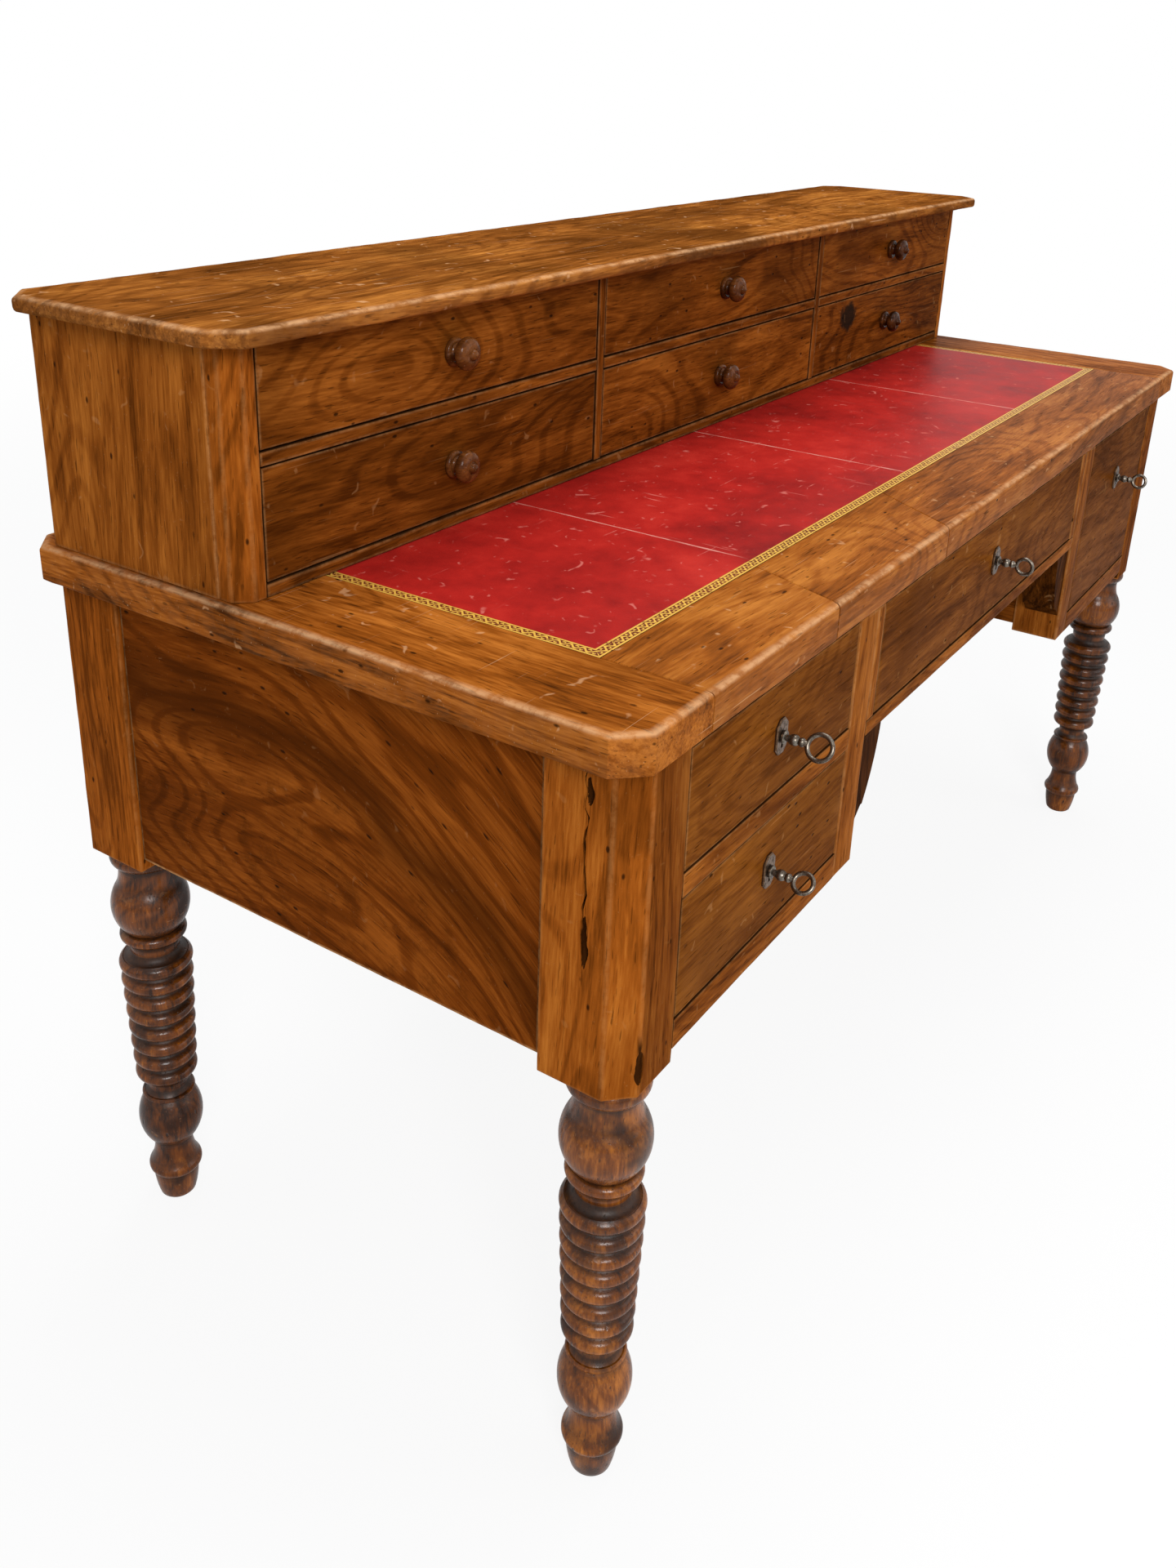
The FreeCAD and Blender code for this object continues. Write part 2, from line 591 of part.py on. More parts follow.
def lock(opening):
    """Lock case in the drawer front and the octagonal escutcheon on its face."""
    x, z, face, root, edge = lock_place(opening)
    case = lock_recess(opening)
    inside = box(x - LOCK_WIDTH / 2 + LOCK_WALL, x + LOCK_WIDTH / 2 - LOCK_WALL,
                 root - LOCK_DEPTH + LOCK_WALL, root - LOCK_WALL,
                 z - LOCK_FOOT + LOCK_WALL, edge - LOCK_WALL)
    front, back = bolt_layer(root)
    half = BOLT_WIDTH / 2 + LOCK_ROOM
    slot = box(x - half, x + half, front - LOCK_ROOM, back + LOCK_ROOM, edge - LOCK_WALL, edge)
    entry = keyhole(x, z, root - LOCK_DEPTH, root - LOCK_DEPTH + LOCK_WALL)
    case = case.cut([inside, slot, entry])
    w = ESCUTCHEON_WIDTH / 2
    h = ESCUTCHEON_HEIGHT / 2
    c = ESCUTCHEON_CORNER
    outline = [V(x - w + c, face, z - h), V(x + w - c, face, z - h), V(x + w, face, z - h + c),
               V(x + w, face, z + h - c), V(x + w - c, face, z + h), V(x - w + c, face, z + h),
               V(x - w, face, z + h - c), V(x - w, face, z - h + c)]
    plate = prism(outline, V(0, -ESCUTCHEON_THICK, 0))
    rim = [e for e in plate.Edges
           if all(abs(v.Y - face + ESCUTCHEON_THICK) < ESCUTCHEON_BEVEL for v in e.Vertexes)]
    plate = plate.makeChamfer(ESCUTCHEON_BEVEL, rim)
    plate = plate.cut(keyhole(x, z, face - ESCUTCHEON_THICK, face))
    return case, plate


def lock_bolt(opening):
    """Flat bolt, drawn down flush with the lock."""
    x, z, _, root, edge = lock_place(opening)
    front, back = bolt_layer(root)
    return box(x - BOLT_WIDTH / 2, x + BOLT_WIDTH / 2, front, back, z - BOLT_FOOT, edge - BOLT_REST_GAP)


def key(opening):
    """Ring key: shaft, ball, collar and bow outside, bit inside the lock."""
    x, z, face, root, _ = lock_place(opening)
    turn, ring_dia = opening[5:]
    forward = V(0, -1, 0)
    bit_back = root - LOCK_DEPTH + LOCK_WALL + LOCK_ROOM + KEY_BIT_WIDTH
    front_plane = face - DRAWER_SINK
    bow_start = front_plane - KEY_SHAFT_OUT
    shaft_end = bow_start - KEY_RING_WIRE / 2
    shaft = Part.makeCylinder(KEY_SHAFT_DIA / 2, bit_back - shaft_end, V(x, bit_back, z), forward)
    seat_at = V(x, face - ESCUTCHEON_THICK - KEYHOLE_ROOM, z)
    seat = Part.makeCylinder(KEY_SEAT_DIA / 2, KEY_SEAT_LENGTH, seat_at, forward)
    ball = Part.makeSphere(KEY_BALL_DIA / 2, V(x, front_plane - KEY_BALL_OUT, z))
    collar = Part.makeSphere(KEY_COLLAR_DIA / 2, V(x, front_plane - KEY_COLLAR_OUT, z))
    tube = KEY_RING_WIRE / 2
    bow_at = V(x, bow_start - ring_dia / 2, z)
    bow = Part.makeTorus(ring_dia / 2 - tube, tube, bow_at, V(1, 0, 0))
    bit = box(x - KEY_BIT_THICK / 2, x + KEY_BIT_THICK / 2, bit_back - KEY_BIT_WIDTH, bit_back,
              z - KEY_BIT_REACH, z)
    solid = joined(shaft, seat, ball, collar, bow, bit)
    return solid.rotate(V(x, 0, z), V(0, 1, 0), turn)


# Gallery
def left_gallery_stile():
    """Front corner stile of the gallery with its chamfered outer corner."""
    post = box(-GALLERY_SIDE, -GALLERY_INNER, GALLERY_FRONT, GALLERY_FRONT + GALLERY_STILE_DEPTH,
               TOP_HEIGHT, GALLERY_TOP_UNDER)
    corner = [V(-GALLERY_SIDE, GALLERY_FRONT, TOP_HEIGHT),
              V(-GALLERY_SIDE + GALLERY_CHAMFER, GALLERY_FRONT, TOP_HEIGHT),
              V(-GALLERY_SIDE, GALLERY_FRONT + GALLERY_CHAMFER, TOP_HEIGHT)]
    return post.cut(prism(corner, V(0, 0, GALLERY_TOP_UNDER - TOP_HEIGHT)))


def left_gallery_side():
    """Side board of the gallery, behind the stile."""
    return box(-GALLERY_SIDE, -GALLERY_INNER, GALLERY_FRONT + GALLERY_STILE_DEPTH, GALLERY_BACK,
               TOP_HEIGHT, GALLERY_TOP_UNDER)


def gallery_partitions():
    """Two dividers and a shelf in each column."""
    divider = box(-DIVIDER_OUTER, -DIVIDER_INNER, GALLERY_FRONT, GALLERY_BACK_INNER,
                  GALLERY_FLOOR, GALLERY_TOP_UNDER)
    shelves = [box(x0, x1, GALLERY_FRONT, GALLERY_BACK_INNER, GALLERY_SHELF_UNDER, GALLERY_SHELF_TOP)
               for x0, x1 in GALLERY_COLUMNS.values()]
    return [divider, mirrored(divider)] + shelves


def knob_dowel(x, z, face):
    """Dowel of a knob, let into the drawer front."""
    return Part.makeCylinder(KNOB_DOWEL_DIA / 2, KNOB_DOWEL_LENGTH, V(x, face, z), V(0, 1, 0))


def knob(x, z, face):
    """Turned knob: flange, neck, round disc and a small button in its middle."""
    def spot(dia, out):
        return V(x + dia / 2, face - out, z)

    neck_end = KNOB_FLANGE_LENGTH + KNOB_NECK_LENGTH
    disc_end = neck_end + KNOB_DISC_LENGTH
    flange = spot(KNOB_FLANGE_FACE_DIA, 0)
    throat = spot(KNOB_NECK_DIA, KNOB_FLANGE_LENGTH)
    shoulder = spot(KNOB_NECK_DIA, neck_end)
    rim = spot(KNOB_DISC_FACE_DIA, disc_end)
    button = spot(KNOB_BUTTON_DIA, disc_end)
    tip = spot(KNOB_TIP_DIA, KNOB_LENGTH)
    cheek = spot(KNOB_BUTTON_DIA * BUTTON_CHEEK_SHARE, (disc_end + KNOB_LENGTH * 2) / 3)
    axis = V(x, face, z)
    end = V(x, face - KNOB_LENGTH, z)
    edges = [Part.LineSegment(axis, flange).toShape(),
             Part.Arc(flange, spot(KNOB_FLANGE_DIA, KNOB_FLANGE_LENGTH / 2), throat).toShape(),
             Part.LineSegment(throat, shoulder).toShape(),
             Part.Arc(shoulder, spot(KNOB_DIA, neck_end + KNOB_DISC_LENGTH / 2), rim).toShape(),
             Part.LineSegment(rim, button).toShape(),
             Part.Arc(button, cheek, tip).toShape(),
             Part.LineSegment(tip, end).toShape(),
             Part.LineSegment(end, axis).toShape()]
    turning = revolved(edges, axis, V(0, -1, 0))
    return joined(turning, knob_dowel(x, z, face))


# Build
def build_case():
    """Legs, panels, front frame and runners."""
    side = left_side_panel()
    back = back_panel()
    rails = front_rails()
    front_leg = left_leg(CASE_FRONT, CASE_FRONT + FRONT_POST_DEPTH, CASE_FRONT + POST_WIDTH / 2, POST_CHAMFER)
    rear_leg = left_leg(CASE_BACK - REAR_POST_DEPTH, CASE_BACK, CASE_BACK - POST_WIDTH / 2, 0)
    rear_leg = rear_leg.cut([side, back])
    save("leg_front_left", front_leg.cut([side] + rails))
    save("leg_front_right", mirrored(front_leg).cut([mirrored(side)] + rails))
    save("leg_rear_left", rear_leg)
    save("leg_rear_right", mirrored(rear_leg))
    save("side_panels", side, mirrored(side))
    save("back_panel", back)
    save("kneehole_cheeks", left_cheek(), mirrored(left_cheek()))
    posts = [left_knee_post().cut(rails), mirrored(left_knee_post()).cut(rails)]
    fillets = [left_knee_fillet(), mirrored(left_knee_fillet())]
    save("kneehole_posts", *posts, *fillets)
    save("kneehole_brackets", left_bracket(), mirrored(left_bracket()))
    save("front_rails", *rails)
    save("drawer_runners", *drawer_runners())


def build_lower_drawers():
    """Four drawers with their locks and keys."""
    for name, opening in LOWER_DRAWERS.items():
        front, boards = drawer(CASE_FRONT, opening[:4], LOWER_BOX_LENGTH, LOWER_TAIL_COUNT)
        x, z, face, root, _ = lock_place(opening)
        front = front.cut([lock_recess(opening), keyhole(x, z, face, root)])
        case, plate = lock(opening)
        save(f"drawer_front_{name}", front)
        save(f"drawer_box_{name}", *boards)
        save(f"lock_{name}", case, plate)
        save(f"lock_bolt_{name}", lock_bolt(opening))
        save(f"key_{name}", key(opening))


def build_gallery():
    """Gallery carcass and its six drawers with knobs."""
    base = box(-GALLERY_INNER, GALLERY_INNER, GALLERY_FRONT, GALLERY_BACK_INNER, TOP_HEIGHT, GALLERY_FLOOR)
    back = box(-GALLERY_INNER, GALLERY_INNER, GALLERY_BACK_INNER, GALLERY_BACK, TOP_HEIGHT, GALLERY_TOP_UNDER)
    top = clipped_board(GALLERY_SIDE + GALLERY_TOP_SIDE_OVERHANG,
                        GALLERY_FRONT - GALLERY_TOP_FRONT_OVERHANG,
                        GALLERY_BACK + GALLERY_TOP_BACK_OVERHANG, GALLERY_TOP_UNDER, GALLERY_TOP_THICK,
                        GALLERY_TOP_CLIP, GALLERY_TOP_ROUND, GALLERY_TOP_ROUND)
    save("gallery_sides", left_gallery_side(), mirrored(left_gallery_side()))
    save("gallery_stiles", left_gallery_stile(), mirrored(left_gallery_stile()))
    save("gallery_base", base)
    save("gallery_back", back)
    save("gallery_partitions", *gallery_partitions())
    save("gallery_top", top)
    face = GALLERY_FRONT + DRAWER_SINK
    for row, (bottom, ceiling) in GALLERY_ROWS.items():
        for column, (left, right) in GALLERY_COLUMNS.items():
            opening = (left, right, bottom, ceiling)
            front, boards = drawer(GALLERY_FRONT, opening, GALLERY_BOX_LENGTH, GALLERY_TAIL_COUNT)
            x = (left + right) / 2
            z = (bottom + ceiling) / 2
            save(f"gallery_front_{row}_{column}", front.cut(knob_dowel(x, z, face)))
            save(f"gallery_box_{row}_{column}", *boards)
            save(f"gallery_knob_{row}_{column}", knob(x, z, face))


os.makedirs("parts", exist_ok=True)
build_case()
writing_top()
build_lower_drawers()
build_gallery()
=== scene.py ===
# %% [markdown]
# An old walnut library desk: turned legs, a leather writing top, locked drawers below and a gallery of
# small drawers above. The solid model of the desk is loaded first and never moved. Each visible board is
# then modelled again over its solid, because the real boards have soft, rubbed corners that a solid
# model made of clean blocks doesn't have.

# %% Load the solid model
import math
import zlib

import bpy
from mathutils import Matrix, Vector


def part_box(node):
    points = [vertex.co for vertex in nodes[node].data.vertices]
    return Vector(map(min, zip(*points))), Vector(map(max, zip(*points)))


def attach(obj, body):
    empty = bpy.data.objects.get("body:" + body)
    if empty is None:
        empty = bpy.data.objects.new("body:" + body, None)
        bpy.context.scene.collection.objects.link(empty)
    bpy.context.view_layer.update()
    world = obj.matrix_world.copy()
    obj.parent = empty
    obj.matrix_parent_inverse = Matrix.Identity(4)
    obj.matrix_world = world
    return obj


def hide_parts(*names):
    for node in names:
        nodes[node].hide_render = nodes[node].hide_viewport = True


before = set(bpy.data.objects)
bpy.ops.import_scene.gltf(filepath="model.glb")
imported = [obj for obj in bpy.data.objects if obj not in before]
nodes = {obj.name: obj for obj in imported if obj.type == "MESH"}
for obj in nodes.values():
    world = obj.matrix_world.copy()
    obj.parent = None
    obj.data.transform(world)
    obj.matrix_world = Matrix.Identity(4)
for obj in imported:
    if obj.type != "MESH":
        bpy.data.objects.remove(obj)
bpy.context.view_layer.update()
bpy.context.scene.view_settings.view_transform = "Standard"

# %% [markdown]
# Finishes are node graphs. Writing them as sums in Python is shorter than placing nodes one by one, so a
# small class wraps a socket and turns each + or * into a Math node. One method makes every other node.


# %% Sockets that work in sums
class Socket:
    """A shader socket that can be used in Python sums."""

    def __init__(self, paint, link):
        self.paint, self.link = paint, link

    def math(self, operation, *terms):
        return self.paint.node("ShaderNodeMath", {"operation": operation}, dict(enumerate(terms)))

    def __add__(self, other):
        return self.math("ADD", self, other)

    def __sub__(self, other):
        return self.math("SUBTRACT", self, other)

    def __rsub__(self, other):
        return self.math("SUBTRACT", other, self)

    def __mul__(self, other):
        return self.math("MULTIPLY", self, other)

    def __truediv__(self, other):
        return self.math("DIVIDE", self, other)

    def __abs__(self):
        return self.math("ABSOLUTE", self)

    __radd__, __rmul__ = __add__, __mul__

    def sin(self):
        return self.math("SINE", self)

    def least(self, other):
        return self.math("MINIMUM", self, other)

    def most(self, other):
        return self.math("MAXIMUM", self, other)

    def fade(self, start, end):
        """0 at start and 1 at end, with a soft step between them."""
        return self.paint.node("ShaderNodeMapRange", {"interpolation_type": "SMOOTHSTEP"},
                               {0: self, 1: start, 2: end, 3: 0.0, 4: 1.0})

    def parts(self):
        """The three numbers of a vector."""
        x = self.paint.node("ShaderNodeSeparateXYZ", {}, {0: self})
        return [Socket(self.paint, output) for output in x.link.node.outputs]


# %% A graph under construction
class Paint:
    """The node graph of a material or of the world; one method makes each kind of node."""

    def __init__(self, owner):
        owner.use_nodes = True
        self.owner, self.tree = owner, owner.node_tree
        if isinstance(owner, bpy.types.Material):
            self.shader = self.tree.nodes["Principled BSDF"]
            self.place = self.node("ShaderNodeTexCoord", {}, {}, "Object")

    def node(self, kind, settings, values, out=0):
        made = self.tree.nodes.new(kind)
        for key, setting in settings.items():
            if key == "stops":
                while len(made.color_ramp.elements) < len(setting):
                    made.color_ramp.elements.new(0.5)
                for stop, (at, colour) in zip(made.color_ramp.elements, setting):
                    stop.position, stop.color = at, (*colour, 1.0)
            else:
                setattr(made, key, setting)
        for key, value in values.items():
            if isinstance(value, Socket):
                self.tree.links.new(value.link, made.inputs[key])
            else:
                made.inputs[key].default_value = value
        return Socket(self, made.outputs[out])

    def vector(self, operation, *terms):
        return self.node("ShaderNodeVectorMath", {"operation": operation}, dict(enumerate(terms)))

    def noise(self, place, scale, detail=2.0, rough=0.5, out="Fac"):
        return self.node("ShaderNodeTexNoise", {}, {"Vector": place, "Scale": scale, "Detail": detail,
                                                   "Roughness": rough}, out)

    def spots(self, place, scale):
        return self.node("ShaderNodeTexVoronoi", {}, {"Vector": place, "Scale": scale}, "Distance")

    def ramp(self, share, *stops):
        return self.node("ShaderNodeValToRGB", {"stops": stops}, {0: share})

    def mix(self, share, first, second):
        colours = [c if isinstance(c, Socket) else (*c, 1.0) for c in (first, second)]
        return self.node("ShaderNodeMix", {"data_type": "RGBA"}, {0: share, 6: colours[0], 7: colours[1]}, 2)

    def relief(self, height, depth, strength):
        return self.node("ShaderNodeBump", {}, {"Height": height, "Distance": depth, "Strength": strength})

    def apply(self, **sockets):
        """Sets or links sockets of the shader; base_color stands for Base Color."""
        for key, value in sockets.items():
            target = self.shader.inputs[key.replace("_", " ").title()]
            if isinstance(value, Socket):
                self.tree.links.new(value.link, target)
            else:
                target.default_value = value
        return self.owner

    def show(self, surface, output):
        """Links a finished shader to the output node."""
        self.tree.links.new(surface.link, self.tree.nodes[output].inputs["Surface"])


# %% [markdown]
# Walnut is the main finish. Its figure comes from growth rings cut at a slant: contour lines of a smooth
# noise field, stretched along the board, look just like that. Fibres and pores are finer noises stretched
# much further. Each board carries an attribute called finish: how rubbed its corner is, how much painted
# shade darkens it in gaps, grooves and corners, and a number of its own, so that no two boards share their figure.


# %% Walnut
# Near-black: the colour of painted shade in gaps, grooves and corners, and of real dark knocks.
DIRT_AND_SHADE = (0.010, 0.004, 0.0015)


def along(run, length, across):
    """Scale factors for a board whose grain runs along axis 0, 1 or 2."""
    return tuple(length if axis == run else across for axis in range(3))


def strokes(paint, place, scale):
    """Short curved scratches: thin contour lines of one noise, kept only where another one is high."""
    thin = abs(paint.noise(place, scale, 1.0) - 0.5).fade(0.034, 0.010)
    return thin * paint.noise(place, scale * 1.6, 2.0).fade(0.62, 0.70)


def walnut(name, run, dark, mid, light, gloss, rings=0.05, pale=(0.56, 0.290, 0.115), sweep=None, shine=0.003,
           smoked=0.5, figure=0.78, blotch=4.2, scratched=0.18, bow=None, stain=None):
    """Walnut in three tones with its grain along an axis; pale is the bare wood of worn corners."""
    paint = Paint(bpy.data.materials.new(name))
    marks = paint.node("ShaderNodeAttribute", {"attribute_name": "finish"}, {}, "Vector")
    # The finish attribute holds worn corners, painted shade and a number of the board's own.
    rubbed, painted_shade, board = marks.parts()
    own = paint.node("ShaderNodeCombineXYZ", {}, {0: board * 5.1, 1: board * 3.7, 2: board * 2.9})
    place = paint.vector("ADD", bow(paint, paint.place) if bow else paint.place, own)
    flow = paint.vector("MULTIPLY", place, along(run, 0.30, 1.0))
    sway = paint.noise(flow, 5.0, 2.0, 0.5, "Color")
    flow = paint.vector("MULTIPLY_ADD", sway, (0.12, 0.12, 0.12), flow)
    bent = paint.vector("MULTIPLY_ADD", sway, (0.06, 0.06, 0.06), place)
    lines = (paint.noise(flow, 5.0, 1.5, 0.5) * 190.0).sin().fade(-1.0, -0.2)
    cloud = paint.noise(flow, 11.0, 5.0, 0.62)
    streak = paint.noise(paint.vector("MULTIPLY", bent, along(run, 7.0, 75.0)), 1.0, 3.0, 0.6)
    fibre = paint.noise(paint.vector("MULTIPLY", bent, along(run, 24.0, 420.0)), 1.0, 3.0, 0.65)
    fleck = paint.noise(paint.vector("MULTIPLY", bent, along(run, 34.0, 330.0)), 1.0, 2.0, 0.6)
    pores = paint.noise(paint.vector("MULTIPLY", bent, along(run, 45.0, 620.0)), 1.0, 1.0).fade(0.36, 0.27)
    grain = (streak - 0.5) * 0.32 + (fibre - 0.5) * 0.26 + (fleck.fade(0.34, 0.66) - 0.5) * 0.05
    tone = (cloud - 0.5) * 0.36 + grain * figure + (lines - 0.75) * rings + (board - 0.5) * 0.06 + 0.5
    colour = paint.ramp(tone, (0.40, dark), (0.50, mid), (0.62, light))
    colour = paint.mix(pores * 0.6, colour, tuple(0.4 * c for c in dark))
    smoke = paint.noise(place, blotch, 3.0, 0.6).fade(0.46, 0.68) * smoked
    if sweep:
        smoke = smoke.most(sweep(paint, paint.place))
    colour = paint.mix(smoke, colour, stain or tuple(0.8 * c for c in dark))
    slant = paint.node("ShaderNodeMapping", {}, {"Vector": paint.place, "Rotation": (0.5, 0.8, 0.6),
                                                 "Scale": (9.0, 640.0, 330.0)})
    scratch = paint.noise(slant, 1.0, 1.0).fade(0.72, 0.78).most(strokes(paint, place, 36.0))
    knocks = paint.spots(paint.vector("MULTIPLY", place, along(run, 30.0, 62.0)), 1.0).fade(0.12, 0.05)
    knocks = knocks * paint.noise(place, 13.0, 1.0).fade(0.38, 0.50)
    worn = rubbed * (paint.noise(paint.place, 70.0, 5.0, 0.7).fade(0.36, 0.62) * 0.75 + 0.25)
    colour = paint.mix((worn * 0.8).most(scratch * scratched), colour, pale)
    # Painted shade from the finish attribute, and the dark knocks, pull the colour towards near-black.
    colour = paint.mix((painted_shade * 0.9).most(knocks * 0.85), colour, DIRT_AND_SHADE)
    rough = gloss + (0.5 - tone) * 0.5 + pores * 0.15 + worn * 0.12 + scratch * 0.2 + painted_shade * 0.3
    height = fibre * 0.5 + streak * 0.5 - pores * 0.6 - knocks * 2.0 - scratch * 0.5
    paint.shader.inputs["Specular IOR Level"].default_value = shine
    return paint.apply(base_color=colour, roughness=rough, normal=paint.relief(height, 0.0005, 0.55))


DARK, MID, LIGHT = (0.068, 0.0165, 0.0018), (0.178, 0.047, 0.0052), (0.350, 0.108, 0.014)
walnut_x = walnut("walnut_along_x", 0, DARK, MID, LIGHT, 0.36)
walnut_y = walnut("walnut_along_y", 1, DARK, MID, LIGHT, 0.36)
walnut_z = walnut("walnut_upright", 2, (0.085, 0.021, 0.0022), (0.210, 0.056, 0.0062), (0.38, 0.122, 0.017),
                  0.36)
post_walnut = walnut("walnut_posts", 2, (0.120, 0.029, 0.0026), (0.268, 0.068, 0.0068), (0.44, 0.140, 0.019),
                     0.36, 0.05, (0.44, 0.19, 0.058), smoked=0.3)
front_walnut = walnut("walnut_fronts", 0, (0.070, 0.0185, 0.0018), (0.142, 0.040, 0.0042), (0.255, 0.082, 0.010),
                      0.36, 0.04, smoked=0.35, figure=0.75, scratched=0.2)
print("walnut finishes:", walnut_x.name, walnut_y.name, walnut_z.name)

# %% [markdown]
# The side of the case is one wide board cut near a fork of the tree. A dark band sweeps down through it in
# an arc, and below the band the grain is curled. The arc is a parabola in the board's own plane, blurred
# and bent by noise.


# %% Side board, knot, top and legs
def bowed(paint, place):
    """Grain that droops in a parabola towards the front."""
    x, y, z = place.parts()
    back = (0.10 - y).most(0.0)
    return paint.node("ShaderNodeCombineXYZ", {}, {0: x, 1: y, 2: z + back * back * 1.5})


def dark_arc(paint, place):
    """The dark band, with curled grain below it."""
    _, _, height = bowed(paint, place).parts()
    above = height - 0.650 + (paint.noise(place, 9.0, 3.0) - 0.5) * 0.09
    band = 1.0 - abs(above) / 0.045
    curls = paint.noise(place, 34.0, 5.0, 0.7).fade(0.48, 0.66) * above.fade(0.0, -0.05)
    return (band * 0.78).most(curls * 0.42).most(0.0)


def knot(paint, place):
    """A ragged dark knot in one gallery drawer."""
    x, _, z = place.parts()
    across, high = (x - 0.383) / 0.032, (z - 0.855) / 0.024
    ragged = across * across + high * high + (paint.noise(place, 60.0, 3.0, 0.6) - 0.5) * 1.6
    return ragged.fade(1.0, 0.35) * 0.95


knot_walnut = walnut("knotty_walnut", 0, DARK, MID, LIGHT, 0.36, sweep=knot, smoked=0.2,
                     stain=(0.014, 0.008, 0.005))
# A darker copy of the walnut for the kneehole brackets: painted shade for parts that sit in shadow.
shaded_walnut = walnut("shaded_walnut", 2, (0.022, 0.006, 0.0010), (0.068, 0.019, 0.0026), (0.150, 0.047, 0.0070),
                       0.40)
panel_walnut = walnut("side_board_walnut", 1, (0.066, 0.0145, 0.0013), (0.136, 0.030, 0.0026), (0.300, 0.080, 0.009),
                      0.36, 0.06, sweep=dark_arc, bow=bowed, figure=0.5, scratched=0.1)
BARE = (0.66, 0.38, 0.19)
top_walnut = walnut("top_walnut_along_x", 0, (0.105, 0.027, 0.0030), (0.268, 0.073, 0.0075), (0.48, 0.168, 0.025),
                    0.36, 0.04, BARE, shine=0.012, smoked=0.2, figure=0.7, scratched=0.4)
cleat_walnut = walnut("top_walnut_along_y", 1, (0.060, 0.015, 0.0018), (0.232, 0.060, 0.0060),
                      (0.44, 0.140, 0.020), 0.36, 0.04, BARE, smoked=0.35, figure=0.85, scratched=0.4)
gallery_walnut = walnut("gallery_top_walnut", 0, (0.095, 0.028, 0.0045), (0.235, 0.074, 0.012),
                        (0.50, 0.190, 0.034), 0.34, 0.04, BARE, shine=0.0, smoked=0.7, scratched=0.5)
turned_walnut = walnut("turned_walnut", 2, (0.022, 0.0055, 0.0007), (0.155, 0.040, 0.0034), (0.46, 0.150, 0.018),
                       0.17, 0.03, (0.50, 0.24, 0.09), shine=0.28, smoked=0.85, figure=0.6, blotch=24.0)
knob_walnut = walnut("knob_walnut", 1, (0.018, 0.0050, 0.0012), (0.085, 0.0250, 0.0055), (0.20, 0.066, 0.015),
                     0.10, 0.05, (0.33, 0.16, 0.09), shine=0.10, figure=0.5, blotch=40.0)
lining_wood = walnut("drawer_lining", 1, (0.10, 0.045, 0.014), (0.27, 0.145, 0.058), (0.44, 0.28, 0.13),
                     0.55, 0.05)
back_wood = walnut("back_boards", 0, (0.050, 0.017, 0.0045), (0.125, 0.047, 0.0130), (0.230, 0.098, 0.030),
                   0.55, 0.05)
print("more finishes:", panel_walnut.name, top_walnut.name, turned_walnut.name, knob_walnut.name)

# %% [markdown]
# The locks are old iron and the keys are steel that hands have polished. Metal needs little colour: what
# matters is where it is rough. Noise mixes dark rust-brown patches into a smoother ground.


# %% Iron and steel
def old_metal(name, ground, patch, smooth, coarse):
    paint = Paint(bpy.data.materials.new(name))
    cloud = paint.noise(paint.place, 260.0, 4.0, 0.65)
    pits = paint.spots(paint.place, 1400.0).fade(0.30, 0.05)
    share = cloud.fade(0.40, 0.66)
    colour = paint.mix(share, ground, patch)
    height = cloud * 0.8 - pits
    return paint.apply(base_color=colour, metallic=1.0, roughness=smooth + share * coarse + pits * 0.1,
                       normal=paint.relief(height, 0.00012, 0.5))


lock_iron = old_metal("lock_iron", (0.150, 0.088, 0.050), (0.055, 0.030, 0.016), 0.28, 0.22)
key_steel = old_metal("key_steel", (0.190, 0.165, 0.135), (0.070, 0.052, 0.038), 0.24, 0.24)
print("metals:", lock_iron.name, key_steel.name)

# %% [markdown]
# Boards start as a cube pulled to size in edit mode. Faces and edges are picked by where they lie, so the
# same few helpers serve every piece.


# %% Picking and shaping
def take(*pieces):
    """Selects only these pieces; the first one is active."""
    bpy.ops.object.select_all(action="DESELECT")
    for piece in pieces:
        piece.select_set(True)
    bpy.context.view_layer.objects.active = pieces[0]


def begin_edit():
    """Opens the active piece in edit mode with everything selected."""
    bpy.ops.object.mode_set(mode="EDIT")
    bpy.ops.mesh.select_all(action="SELECT")


def end_edit():
    bpy.ops.object.mode_set(mode="OBJECT")


def named(name):
    piece = bpy.context.object
    piece.name = piece.data.name = name
    return piece


def block(name, low, high):
    """A cube pulled to size and place in edit mode."""
    bpy.ops.mesh.primitive_cube_add(size=1.0)
    piece = named(name)
    begin_edit()
    bpy.ops.transform.resize(value=[b - a for a, b in zip(low, high)])
    bpy.ops.transform.translate(value=[(a + b) / 2 for a, b in zip(low, high)])
    end_edit()
    return piece


def pick(piece, kind, test):
    """Opens edit mode with those edges or faces selected that pass a test on their place."""
    mesh = piece.data
    bpy.context.tool_settings.mesh_select_mode = (False, kind == "EDGE", kind == "FACE")
    for group in (mesh.vertices, mesh.edges, mesh.polygons):
        group.foreach_set("select", [False] * len(group))
    if kind == "EDGE":
        for edge in mesh.edges:
            edge.select = test(*(mesh.vertices[i].co for i in edge.vertices))
    else:
        for face in mesh.polygons:
            face.select = test(face.center, face.normal)
    take(piece)
    bpy.ops.object.mode_set(mode="EDIT")


def chamfer(piece, test, width, segments=1, worn=False):
    """Bevels the picked edges, and notes the new faces as worn if asked."""
    if worn and "worn" not in piece.vertex_groups:
        piece.vertex_groups.new(name="worn")
    pick(piece, "EDGE", test)
    bpy.ops.mesh.bevel(offset=width, segments=segments, affect="EDGES", profile=0.5)
    if worn:
        bpy.ops.object.vertex_group_assign()
    end_edit()


# %% [markdown]
# A hand-planed board has no sharp corner. Every face is inset a little, so that the shading stays flat in
# its middle, and all sharp edges are bevelled. The bevel is kept as a vertex group: the group tells the
# Displace modifier where rubbing has eaten into the corner, and the finish where bare wood shows.


